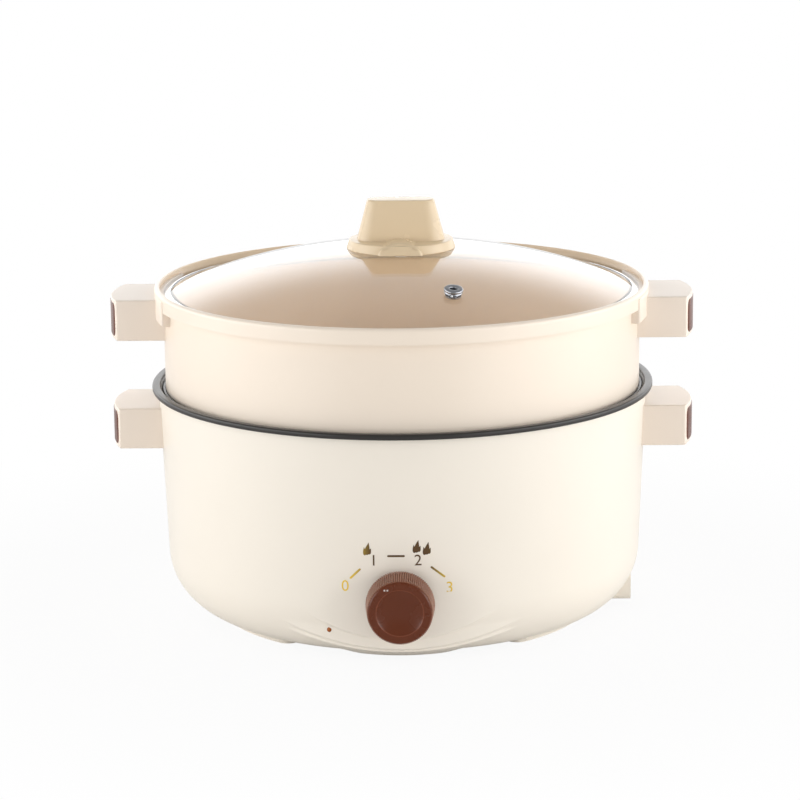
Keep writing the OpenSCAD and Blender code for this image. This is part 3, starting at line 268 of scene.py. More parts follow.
class Tree:
    """Adds nodes to a node tree and links them."""

    def __init__(self, tree: bpy.types.NodeTree) -> None:
        """Keep the tree."""
        self.tree = tree

    def add(self, kind: str, values: Optional[dict] = None, **settings: object) -> Node:
        """Add a shader node.

        Args:
            kind: Node type without its common first part.
            values: Values for its inputs by name or place.
            settings: Values for its attributes.

        Returns:
            The node.
        """
        node = self.tree.nodes.new("ShaderNode" + kind)
        for name, value in settings.items():
            setattr(node, name, value)
        for name, value in (values or {}).items():
            node.inputs[name].default_value = value
        return node

    def link(self, source: Socket, target: Socket) -> None:
        """Link two sockets."""
        self.tree.links.new(source, target)

    def math(self, operation: str, first: object, second: object) -> Socket:
        """Add a sum of two values, each a number or a socket, and give its result."""
        node = self.add("Math", operation=operation)
        for place, value in enumerate((first, second)):
            if isinstance(value, (int, float)):
                node.inputs[place].default_value = value
            else:
                self.link(value, node.inputs[place])
        return node.outputs[0]

    def ramp(self, value: Socket, source: Point, target: Point) -> Socket:
        """Add a smooth step of a value between two others and give its result."""
        limits = {"From Min": source[0], "From Max": source[1], "To Min": target[0], "To Max": target[1]}
        node = self.add("MapRange", limits, interpolation_type="SMOOTHSTEP")
        self.link(value, node.inputs["Value"])
        return node.outputs[0]

    def coordinates(self, kind: str = "Object") -> Node:
        """Add a split of a texture coordinate into X, Y and Z."""
        place = self.add("TexCoord")
        parts = self.add("SeparateXYZ")
        self.link(place.outputs[kind], parts.inputs[0])
        return parts

    def blend(self, mask: Socket, low: Socket, high: Colour) -> Socket:
        """Add a change by a mask from a colour to a fixed one and give its result."""
        node = self.add("MixRGB", {"Color2": (*high, 1.0)})
        self.link(mask, node.inputs["Fac"])
        self.link(low, node.inputs["Color1"])
        return node.outputs["Color"]

    def distance(self, first: Socket, second: Socket) -> Socket:
        """Add the length of two offsets square to each other and give its result."""
        squares = [self.math("MULTIPLY", value, value) for value in (first, second)]
        return self.math("POWER", self.math("ADD", *squares), 0.5)

    def either(self, mask: Socket, first: Node, second: Node, target: Socket) -> None:
        """Feed a target with one shader or another by a mask."""
        node = self.add("MixShader")
        for place, source in enumerate((mask, first.outputs[0], second.outputs[0])):
            self.link(source, node.inputs[place])
        self.link(node.outputs[0], target)


class SkinGroup:
    """Shader group for a surface that is mottled, unevenly glossy and finely grained."""

    def __init__(self, name: str, stretch: Sequence[float]) -> None:
        """Name the group and say how its pattern is stretched along X, Y and Z."""
        self.name = name
        self.stretch = stretch

    def tree(self) -> bpy.types.NodeTree:
        """Give the group's tree, which is made on its first use."""
        found = bpy.data.node_groups.get(self.name)
        return found or self.build()

    def build(self) -> bpy.types.NodeTree:
        """Make the group.

        Returns:
            The tree, with a colour, a roughness and a height as outputs.
        """
        tree = bpy.data.node_groups.new(self.name, "ShaderNodeTree")
        sides = {"Colour": "Color", "Mottle": "Float", "Gloss": "Float", "Smudge": "Float", "Grain": "Float"}
        for name, kind in {"Vector": "Vector", **sides}.items():
            tree.interface.new_socket(name, in_out="INPUT", socket_type="NodeSocket" + kind)
        for name, kind in {"Colour": "Color", "Roughness": "Float", "Height": "Float"}.items():
            tree.interface.new_socket(name, in_out="OUTPUT", socket_type="NodeSocket" + kind)
        kit = Tree(tree)
        given = tree.nodes.new("NodeGroupInput").outputs
        result = tree.nodes.new("NodeGroupOutput").inputs
        place = kit.add("Mapping", {"Scale": self.stretch})
        kit.link(given["Vector"], place.inputs["Vector"])
        cloud = self.noise(kit, place, 16.0, 3.0)
        smear = self.noise(kit, place, 55.0, 4.0)
        grain = self.noise(kit, place, 1.0, 2.0)
        kit.link(given["Grain"], grain.inputs["Scale"])
        swing = kit.math("MULTIPLY", kit.math("SUBTRACT", cloud.outputs[0], 0.5), given["Mottle"])
        tint = kit.add("HueSaturation")
        kit.link(kit.math("ADD", swing, 1.0), tint.inputs["Value"])
        kit.link(given["Colour"], tint.inputs["Color"])
        kit.link(tint.outputs["Color"], result["Colour"])
        swing = kit.math("MULTIPLY", kit.math("SUBTRACT", smear.outputs[0], 0.5), given["Smudge"])
        kit.link(kit.math("ADD", swing, given["Gloss"]), result["Roughness"])
        kit.link(grain.outputs[0], result["Height"])
        return tree

    @staticmethod
    def noise(kit: Tree, place: Node, scale: float, detail: float) -> Node:
        """Add a noise that follows a mapping."""
        node = kit.add("TexNoise", {"Scale": scale, "Detail": detail})
        kit.link(place.outputs[0], node.inputs["Vector"])
        return node


MOULDED = SkinGroup("moulded_skin", (1.0, 1.0, 1.0))
DRAWN = SkinGroup("drawn_skin", (1.0, 1.0, 9.0))


@dataclass(frozen=True)
class Finish:
    """A surface finish.

    Attributes:
        name: Name of its material.
        colour: Linear base colour.
        gloss: Mean roughness.
        mottle: Swing of the colour's brightness.
        smudge: Swing of the roughness.
        grain: Fineness of the surface grain, in grains a metre.
        relief: Height of the grain in millimetres.
        coat: Weight of a clear coat.
        metallic: Metallic weight.
        specular: Strength of the plain reflection.
        group: Shader group that gives the pattern.
    """

    name: str
    colour: Colour
    gloss: float = 0.4
    mottle: float = 0.04
    smudge: float = 0.1
    grain: float = 1400.0
    relief: float = 0.02
    coat: float = 0.0
    metallic: float = 0.0
    specular: float = 0.5
    group: SkinGroup = MOULDED

    def material(self) -> bpy.types.Material:
        """Give the finish's material, which is made on its first use."""
        found = bpy.data.materials.get(self.name)
        return found or self.build()

    def build(self) -> bpy.types.Material:
        """Make the material.

        Returns:
            A material whose pattern follows the piece's own coordinates.
        """
        made = bpy.data.materials.new(self.name)
        made.use_nodes = True
        kit = Tree(made.node_tree)
        shader = made.node_tree.nodes["Principled BSDF"]
        self.set_constants(shader)
        skin = made.node_tree.nodes.new("ShaderNodeGroup")
        skin.node_tree = self.group.tree()
        values = {"Mottle": self.mottle, "Gloss": self.gloss, "Smudge": self.smudge, "Grain": self.grain}
        for name, value in values.items():
            skin.inputs[name].default_value = value
        skin.inputs["Colour"].default_value = (*self.colour, 1.0)
        place = kit.add("TexCoord")
        kit.link(place.outputs["Object"], skin.inputs["Vector"])
        self.paint(kit, skin, shader)
        kit.link(skin.outputs["Roughness"], shader.inputs["Roughness"])
        bump = kit.add("Bump", {"Strength": 0.5, "Distance": self.relief * MM})
        kit.link(skin.outputs["Height"], bump.inputs["Height"])
        kit.link(bump.outputs[0], shader.inputs["Normal"])
        return made

    def set_constants(self, shader: Node) -> None:
        """Set what is the same all over the surface."""
        shader.inputs["Metallic"].default_value = self.metallic
        shader.inputs["Specular IOR Level"].default_value = self.specular
        shader.inputs["Coat Weight"].default_value = self.coat
        shader.inputs["Coat Roughness"].default_value = 0.28

    def paint(self, kit: Tree, skin: Node, shader: Node) -> None:
        """Feed the base colour."""
        kit.link(skin.outputs["Colour"], shader.inputs["Base Color"])


@dataclass(frozen=True)
class PaintedGlintFoilFinish(Finish):
    """Hot-stamped foil with a painted reflection: dark in the middle of the dial and bright at its sides.

    Attributes:
        bright: Linear colour at the sides, a painted glint.
        painted_dim_half: Half width of the dark middle, a painted dim reflection, in millimetres.
        painted_glint_half: Distance from the middle where the painted glint is full, in millimetres.
    """

    bright: Colour = (0.8, 0.6, 0.1)
    painted_dim_half: float = 15.0
    painted_glint_half: float = 30.0

    def paint(self, kit: Tree, skin: Node, shader: Node) -> None:
        """Feed a base colour that turns from dark to bright across the dial, as a painted reflection."""
        side = kit.math("ABSOLUTE", kit.coordinates().outputs["X"], 0.0)
        reach = kit.ramp(side, (self.painted_dim_half * MM, self.painted_glint_half * MM), (0.0, 1.0))
        kit.link(kit.blend(reach, skin.outputs["Colour"], self.bright), shader.inputs["Base Color"])


@dataclass(frozen=True)
class ShadedInsideFinish(Finish):
    """Finish of a round vessel whose inside is a painted shade: a darker, warmer tan for the light that
    bounces inside it.

    Attributes:
        inside: Linear colour of the inside, a painted shade.
        floor_r: Radius between the two sides of the skirt at the floor, in millimetres.
        wall_r: The same for the wall.
        rim_r: The same above the rim's ledge.
        corner: Height of the corner between skirt and wall.
        ledge: Height of the ledge.
    """

    inside: Colour = (0.8, 0.6, 0.4)
    floor_r: float = 135.6
    wall_r: float = 139.0
    rim_r: float = 142.8
    corner: float = 140.0
    ledge: float = 188.0

    def limit(self, kit: Tree, height: Socket) -> Socket:
        """Give the radius, in metres, under which a height is inside."""
        steps = ((self.corner, self.wall_r - self.floor_r), (self.ledge, self.rim_r - self.wall_r))
        rises = [kit.ramp(height, ((z - 1.0) * MM, z * MM), (0.0, rise * MM)) for z, rise in steps]
        return kit.math("ADD", kit.math("ADD", *rises), self.floor_r * MM)

    def paint(self, kit: Tree, skin: Node, shader: Node) -> None:
        """Feed a base colour that turns to the painted shade where the inside starts."""
        parts = kit.coordinates()
        away = kit.distance(parts.outputs["X"], parts.outputs["Y"])
        painted_shade_mask = kit.math("LESS_THAN", away, self.limit(kit, parts.outputs["Z"]))
        kit.link(kit.blend(painted_shade_mask, skin.outputs["Colour"], self.inside), shader.inputs["Base Color"])


@dataclass(frozen=True)
class RibbedPaintedLightFinish(Finish):
    """Finish of a knob whose ribbed side is painted paler than its face as painted light, and whose dish
    edge carries a painted highlight ring.

    Attributes:
        side: Linear colour of the ribs, paler as painted light.
        edge_highlight: Linear colour of the dish's edge, a painted highlight.
        side_r: Radius where the ribs start, in millimetres.
        dish_r: Radius of the middle of the dish's edge, in millimetres.
        edge_highlight_half: Half width of the painted highlight ring, in millimetres.
        axis: Height of the knob's axis, in millimetres.
    """

    side: Colour = (0.2, 0.1, 0.05)
    edge_highlight: Colour = (0.2, 0.1, 0.05)
    side_r: float = 17.6
    dish_r: float = 13.1
    edge_highlight_half: float = 0.45
    axis: float = 40.5

    def paint(self, kit: Tree, skin: Node, shader: Node) -> None:
        """Feed a base colour with a painted highlight at the dish's edge and painted light where the ribs
        start.
        """
        parts = kit.coordinates()
        rise = kit.math("SUBTRACT", parts.outputs["Z"], self.axis * MM)
        away = kit.distance(parts.outputs["X"], rise)
        from_edge = kit.math("ABSOLUTE", kit.math("SUBTRACT", away, self.dish_r * MM), 0.0)
        edge = kit.ramp(from_edge, (0.0, self.edge_highlight_half * MM), (1.0, 0.0))
        ribbed = kit.math("GREATER_THAN", away, self.side_r * MM)
        face = kit.blend(edge, skin.outputs["Colour"], self.edge_highlight)
        kit.link(kit.blend(ribbed, face, self.side), shader.inputs["Base Color"])


@dataclass(frozen=True)
class GlassFinish(Finish):
    """Clear glass that lets light through to what is under it."""

    def set_constants(self, shader: Node) -> None:
        """Set the glass's own values."""
        shader.inputs["Base Color"].default_value = (*self.colour, 1.0)
        shader.inputs["Transmission Weight"].default_value = 1.0
        shader.inputs["IOR"].default_value = 1.5

    def paint(self, kit: Tree, skin: Node, shader: Node) -> None:
        """Leave the base colour plain."""

    def build(self) -> bpy.types.Material:
        """Make the material, with clear shadows."""
        made = super().build()
        kit = Tree(made.node_tree)
        shader = made.node_tree.nodes["Principled BSDF"]
        output = made.node_tree.nodes["Material Output"]
        shadow = kit.add("LightPath").outputs["Is Shadow Ray"]
        kit.either(shadow, shader, kit.add("BsdfTransparent"), output.inputs["Surface"])
        return made


CREAM = Finish("cream_plastic", srgb(240, 232, 219), gloss=0.36, coat=0.5)
HANDLE_CREAM = Finish("handle_cream", srgb(239, 225, 210), gloss=0.46, coat=0.3)
# The steamer's inside is painted a shaded tan.
STEAMER_CREAM = ShadedInsideFinish(
    "steamer_cream", srgb(239, 225, 208), gloss=0.36, coat=0.5, inside=srgb(233, 207, 174)
)
BEIGE = Finish("beige_grip", srgb(224, 202, 168), gloss=0.26)
BROWN = Finish("brown_grip", srgb(95, 43, 18), gloss=0.27, mottle=0.08, specular=0.3)
# The knob's paler ribs and the ring at its dish's edge are painted light.
KNOB_BROWN = RibbedPaintedLightFinish(
    "knob_brown_painted_light", srgb(95, 43, 18), gloss=0.27, mottle=0.08, specular=0.3,
    side=srgb(140, 92, 70), edge_highlight=srgb(124, 68, 46),
)
NONSTICK = Finish("nonstick_black", srgb(36, 33, 31), gloss=0.33, mottle=0.3, grain=2600.0, relief=0.03)
POLISHED = Finish("polished_steel", srgb(222, 224, 228), gloss=0.14, metallic=1.0, smudge=0.05, group=DRAWN)
VENT_STEEL = Finish("vent_steel", srgb(158, 160, 165), gloss=0.3, metallic=1.0, group=DRAWN)
PLAIN_STEEL = Finish("turned_steel", srgb(190, 192, 196), gloss=0.34, metallic=1.0, group=DRAWN)
ALLOY = Finish("cast_alloy", srgb(176, 178, 180), gloss=0.46, metallic=1.0, mottle=0.1, relief=0.05)
BRASS = Finish("bright_brass", srgb(206, 170, 92), gloss=0.25, metallic=1.0, group=DRAWN)
WHITE_PLASTIC = Finish("switch_white", srgb(228, 224, 214), gloss=0.5)
AMBER = Finish("amber_lens", srgb(158, 84, 20), gloss=0.2, mottle=0.1)
RUBBER = Finish("silicone_grey", srgb(226, 222, 214), gloss=0.6)
BROWN_WIRE = Finish("wire_brown", srgb(120, 62, 36), gloss=0.5)
BLUE_WIRE = Finish("wire_blue", srgb(58, 95, 154), gloss=0.5)
GREEN_WIRE = Finish("wire_green", srgb(125, 154, 58), gloss=0.5)
WHITE_WIRE = Finish("wire_white", srgb(228, 222, 206), gloss=0.55)
# Pale colour of the pointer dots, a painted highlight.
PAINTED_HIGHLIGHT_DOTS = Finish("pointer_painted_highlight", srgb(206, 196, 190), gloss=0.4)
# Gold print whose dark middle and bright sides are a painted reflection.
GOLD = PaintedGlintFoilFinish("gold_foil_painted_glint", srgb(84, 56, 16), gloss=0.3, mottle=0.2, bright=srgb(236, 200, 66))
GLASS = GlassFinish(
    "clear_glass", srgb(252, 252, 252), gloss=0.02, mottle=0.0, smudge=0.02, relief=0.002, grain=60.0
)


@dataclass
class Assembly:
    """A sub-assembly whose pieces ride on one body."""

    body: Body

    def add(
        self,
        name: str,
        mesh: BMesh,
        finish: Finish,
        slot: Slot,
        replaced: Sequence[str] = (),
        sharp: float = 38.0,
    ) -> None:
        """Finish a mesh and put it into the scene.

        Args:
            name: Name of the piece.
            mesh: Its mesh in millimetres.
            finish: Its finish.
            slot: The record's material slot meant for it; not used.
            replaced: CAD nodes that it stands for.
            sharp: Angle in degrees above which an edge stays sharp.
        """
        bmesh.ops.recalc_face_normals(mesh, faces=mesh.faces)
        bmesh.ops.scale(mesh, vec=(MM, MM, MM), verts=mesh.verts)
        for face in mesh.faces:
            face.smooth = True
        for edge in mesh.edges:
            edge.smooth = edge.calc_face_angle(0.0) < math.radians(sharp)
        data = bpy.data.meshes.new(name)
        mesh.to_mesh(data)
        mesh.free()
        data.materials.append(finish.material())
        piece = bpy.data.objects.new(name, data)
        bpy.context.scene.collection.objects.link(piece)
        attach(piece, self.body.value)
        if replaced:
            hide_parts(*replaced)
        LOG.info("%s on %s: %d faces", name, self.body.value, len(data.polygons))

    @staticmethod
    def dress(finish: Finish, *nodes: str) -> None:
        """Give CAD nodes that stay as they are a finish."""
        for name in nodes:
            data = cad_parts[name].data
            for place in range(max(1, len(data.materials))):
                if place < len(data.materials):
                    data.materials[place] = finish.material()
                else:
                    data.materials.append(finish.material())
            LOG.info("%s dressed as %s", name, finish.name)


@dataclass(frozen=True)
class ChinStep:
    """One step of the shell's chin.

    Attributes:
        set_in: Distance behind the shell's wall line.
        edge: Height of its lower edge in the middle.
        crescent: Radius of the crescent that bounds it.
        slope: Slope of its underside.
        set_back: How far it reaches back from its edge.
    """

    set_in: float
    edge: float
    crescent: float
    slope: float
    set_back: float

    def radius(self, line_r: float, edge_line_r: float, z: float, turn: float) -> float:
        """Give how far the step stands out.

        Args:
            line_r: Radius of the shell's wall line at this height.
            edge_line_r: Radius of the wall line at the step's lower edge.
            z: Height.
            turn: Angle from the front in radians.

        Returns:
            The radius, or 0 where the step doesn't reach.
        """
        edge_r = edge_line_r - self.set_in
        depth = math.cos(turn) * self.slope
        rise = self.edge + self.crescent - z
        whole = self.crescent + self.slope * edge_r
        square = math.sin(turn) ** 2 - depth**2
        middle = 2 * whole * depth
        last = rise**2 - whole**2
        root = middle**2 - 4 * square * last
        wall_r = line_r - self.set_in
        if root > 0:
            wall_r = min(wall_r, -2 * last / (middle + math.sqrt(root)))
        return wall_r if wall_r * math.cos(turn) > edge_r - self.set_back else 0.0


@dataclass
class ShellForm:
    """Form of the outer shell, which the dial and the handles follow."""

    lean: float = 2.2
    corner: float = 36.0
    wall: float = 2.6
    overhang: float = 5.7
    ring_in: float = 18.5
    ring_low: float = 4.5
    ring_top: float = 7.0
    seat_in: float = 9.3
    rim_round: float = 0.6
    chin_reach: float = 1.0
    chin_over: float = 6.0
    soft: float = 0.5
    steps: tuple[ChinStep, ...] = (
        ChinStep(0.05, 18.4, 80.0, 0.5, 24.0),
        ChinStep(2.2, 12.0, 110.0, 0.5, 24.0),
        ChinStep(4.8, 9.4, 150.0, 0.3, 40.0),
    )

    def __post_init__(self) -> None:
        """Read the shell's place from the frame."""
        self.low = span("outer_shell")[0].z
        self.top = span("outer_shell")[1].z
        self.top_r = span("inner_pan")[1].x - self.overhang
        tilt = math.radians(self.lean)
        self.middle = self.low + self.corner
        drop = (self.middle - self.top) * math.sin(tilt) - self.corner
        self.middle_r = self.top_r + drop / math.cos(tilt)

    def line(self, z: float) -> float:
        """Give the radius of the straight wall's line at a height."""
        return self.top_r - (self.top - z) * math.tan(math.radians(self.lean))

    def outline(self) -> list[Point]:
        """List the corners of the shell's section, from its bottom ring round to its inside."""
        ring_r = self.middle_r - self.ring_in
        seat_r = self.middle_r - self.seat_in
        inner = self.corner - self.wall
        inner_start = -math.degrees(math.asin((self.middle - self.ring_top) / inner))
        inner_top = self.top_r - self.wall / math.cos(math.radians(self.lean))
        outside = arc(self.middle_r, self.middle, self.corner, -90, -self.lean, 92)
        inside = arc(self.middle_r, self.middle, inner, -self.lean, inner_start, 34)
        edge = self.rim_round
        lip = arc(self.top_r - edge, self.top - edge, edge, -self.lean, 90, 4)
        return [
            (ring_r, self.ring_top), (ring_r, self.ring_low), (seat_r, self.ring_low), (seat_r, self.low),
            *outside, *line(outside[-1], lip[0], 14), *lip, (inner_top, self.top), *inside,
        ]

    def chin(self, r: float, z: float, turn: float) -> float:
        """Give the radius of the outside where the chin stands out in front.

        Args:
            r: Radius of the plain shell.
            z: Height.
            turn: Direction in degrees from +X.

        Returns:
            The radius with the chin.
        """
        ahead = math.radians(turn + 90.0)
        limit = self.middle_r + math.sqrt(max(0.0, (self.corner - 1.0) ** 2 - (self.middle - z) ** 2))
        beside = abs(ahead) > self.chin_reach or z > self.middle + self.chin_over
        if beside or (z < self.middle and r < limit):
            return r
        for step in self.steps:
            reach = step.radius(self.line(z), self.line(step.edge), z, ahead)
            near = max(self.soft - abs(reach - r), 0.0)
            r = max(r, reach) + near**2 / (4 * self.soft)
        return r


@dataclass
class DialPrint:
    """Gold marks on the shell round the control knob."""

    shell: ShellForm
    lift: float = 0.02
    thick: float = 0.06
    digit_size: float = 9.0
    dash_width: float = 1.15
    flame_height: float = 7.4
    flame_width: float = 4.6
    digits: tuple[tuple[str, float, float], ...] = (
        ("0", -30.7, 49.0), ("1", -14.6, 64.4), ("2", 10.0, 64.5), ("3", 27.4, 48.0)
    )
    dashes: tuple[tuple[float, float, float, float], ...] = (
        (-25.0, 56.6, 8.5, 45.0), (-2.2, 67.3, 9.8, 0.0), (21.0, 57.6, 10.3, -39.0)
    )
    flames: tuple[tuple[float, float], ...] = ((-18.3, 71.4), (9.2, 72.9), (14.8, 71.6))
    tongues: tuple[tuple[float, ...], ...] = (
        (0.9, 1.0, 1.1, 0.0, 0.0), (0.55, 0.66, -0.5, -0.26, -0.2), (0.55, 0.5, 1.0, 0.28, -0.2)
    )

    def wrap(self, mesh: BMesh, x: float, z: float) -> BMesh:
        """Lay a flat mesh on the shell round a point and give it back."""
        for vert in mesh.verts:
            across, up, out = vert.co
            r = self.shell.line(z + up) + self.lift + out
            vert.co = (x + across, -math.sqrt(r * r - (x + across) ** 2), z + up)
        return mesh

    def digit(self, text: str, x: float, z: float) -> BMesh:
        """Make one digit as a thin mesh."""
        curve = bpy.data.curves.new("digit", "FONT")
        curve.body = text
        curve.size = self.digit_size
        curve.align_x = "CENTER"
        curve.align_y = "CENTER"
        curve.extrude = self.thick / 2
        holder = bpy.data.objects.new("digit", curve)
        flat = holder.to_mesh()
        mesh = bmesh.new()
        mesh.from_mesh(flat)
        holder.to_mesh_clear()
        bpy.data.objects.remove(holder)
        bpy.data.curves.remove(curve)
        bmesh.ops.remove_doubles(mesh, verts=mesh.verts, dist=SEAM)
        bmesh.ops.translate(mesh, verts=mesh.verts, vec=(0, 0, self.thick / 2))
        return self.wrap(mesh, x, z)

    def dash(self, x: float, z: float, length: float, turn: float) -> BMesh:
        """Make one dash as a thin strip."""
        mesh, _ = raised(rounded_rect(length, self.dash_width, self.dash_width / 2.01, 3), 0, self.thick)
        slice_across(mesh, (step * length / 10 for step in range(-4, 5)), Vector((1, 0, 0)))
        spin = Matrix.Rotation(math.radians(turn), 3, "Z")
        bmesh.ops.rotate(mesh, verts=mesh.verts, cent=(0, 0, 0), matrix=spin)
        return self.wrap(mesh, x, z)

    def tongue(self, width: float, height: float, lean: float) -> list[Point]:
        """List the outline of one tongue of flame, with its tip leaning over."""
        points = []
        for step in range(28):
            turn = 2 * math.pi * step / 28
            up = (1 + math.cos(turn)) / 2
            across = math.sin(turn) * math.sin(turn / 2) ** 1.4 * width / 2
            points.append((-across + lean * up * up, (up - 0.5) * height))
        return points

    def flame(self, x: float, z: float) -> list[BMesh]:
        """Make one flame of a tall tongue and two small ones."""
        made = []
        for place, (width, height, lean, across, up) in enumerate(self.tongues):
            outline = self.tongue(self.flame_width * width, self.flame_height * height, lean)
            mesh, _ = raised(outline, 0, self.thick * (0.8 + 0.1 * place))
            made.append(self.wrap(mesh, x + self.flame_width * across, z + self.flame_height * up))
        return made

    def build(self) -> BMesh:
        """Make all the marks as one mesh."""
        marks = [self.digit(*place) for place in self.digits]
        marks += [self.dash(*place) for place in self.dashes]
        for place in self.flames:
            marks += self.flame(*place)
        return joined(marks)


@dataclass
class Handle:
    """A block handle with a bowed end and a brown end plate."""

    handle_node: str
    insert_node: str
    wall: Callable[[float], float]
    end_r: float = 75.0
    edge_r: float = 0.9
    sink: float = 0.4
    plate_corner: float = 4.0
    plate_edge: float = 0.5
    strips: int = 18
    rim: Point = (4.3, 2.15)
    plate_rim: float = 2.0
    plate_t: float = 2.0

    def __post_init__(self) -> None:
        """Read the handle's place from the frame."""
        low, high = span(self.handle_node)
        self.side = 1.0 if high.x > 0 else -1.0
        self.reach = max(abs(low.x), abs(high.x))
        self.insert_low, self.insert_high = span(self.insert_node)
        self.half_w = self.insert_high.y + self.rim[0]
        self.low, self.high = self.insert_low.z - self.rim[1], self.insert_high.z + self.rim[1]
        self.proud = max(abs(self.insert_low.x), abs(self.insert_high.x)) - self.reach - SNUG

    def bowed(self, y: float, out: float) -> float:
        """Give the bowed end's distance along X, moved out by some amount."""
        r = self.end_r + out
        return self.reach - self.end_r + math.sqrt(r * r - y * y)

    def cut_strips(self, mesh: BMesh, half: float) -> None:
        """Cut a block across into strips so that it can bow."""
        cuts = (half * (2 * step / self.strips - 1) for step in range(1, self.strips))
        slice_across(mesh, cuts, Vector((0, 1, 0)))

    def facing(self, mesh: BMesh) -> BMesh:
        """Turn a piece made for the right side to the handle's own side."""
        bmesh.ops.scale(mesh, vec=(self.side, 1, 1), verts=mesh.verts)
        return mesh

    def block(self) -> BMesh:
        """Make the handle's block, from inside the wall to its bowed end."""
        corners = [(0, -self.half_w), (1, -self.half_w), (1, self.half_w), (0, self.half_w)]
        mesh, _ = raised(corners, self.low, self.high)
        self.cut_strips(mesh, self.half_w)
        for vert in mesh.verts:
            inner = math.sqrt((self.wall(vert.co.z) - self.sink) ** 2 - vert.co.y**2)
            vert.co.x = self.bowed(vert.co.y, 0.0) if vert.co.x > 0.5 else inner
        root = self.wall(self.low) + 1.0
        rounded = [edge for edge in sharp_edges(mesh, 50) if max(v.co.x for v in edge.verts) > root]
        round_edges(mesh, rounded, self.edge_r)
        return self.facing(mesh)

    def plate(self) -> BMesh:
        """Make the brown plate in the handle's end."""
        width = 2 * (self.half_w - self.plate_rim)
        height = self.insert_high.z - self.insert_low.z
        mesh, _ = raised(rounded_rect(height, width, self.plate_corner, 6), 0, 1)
        self.cut_strips(mesh, width / 2)
        middle = (self.insert_high.z + self.insert_low.z) / 2
        for vert in mesh.verts:
            out = self.proud if vert.co.z > 0.5 else -self.plate_t
            vert.co = (self.bowed(vert.co.y, out), vert.co.y, middle + vert.co.x)
        bmesh.ops.recalc_face_normals(mesh, faces=mesh.faces)
        rim = [edge for edge in sharp_edges(mesh, 50) if min(self.depth(v) for v in edge.verts) > -0.5]
        round_edges(mesh, rim, self.plate_edge, 3)
        return self.facing(mesh)

    def depth(self, vert: BMVert) -> float:
        """Give how far a vertex stands out from the bowed end."""
        return vert.co.x - self.bowed(vert.co.y, 0.0)


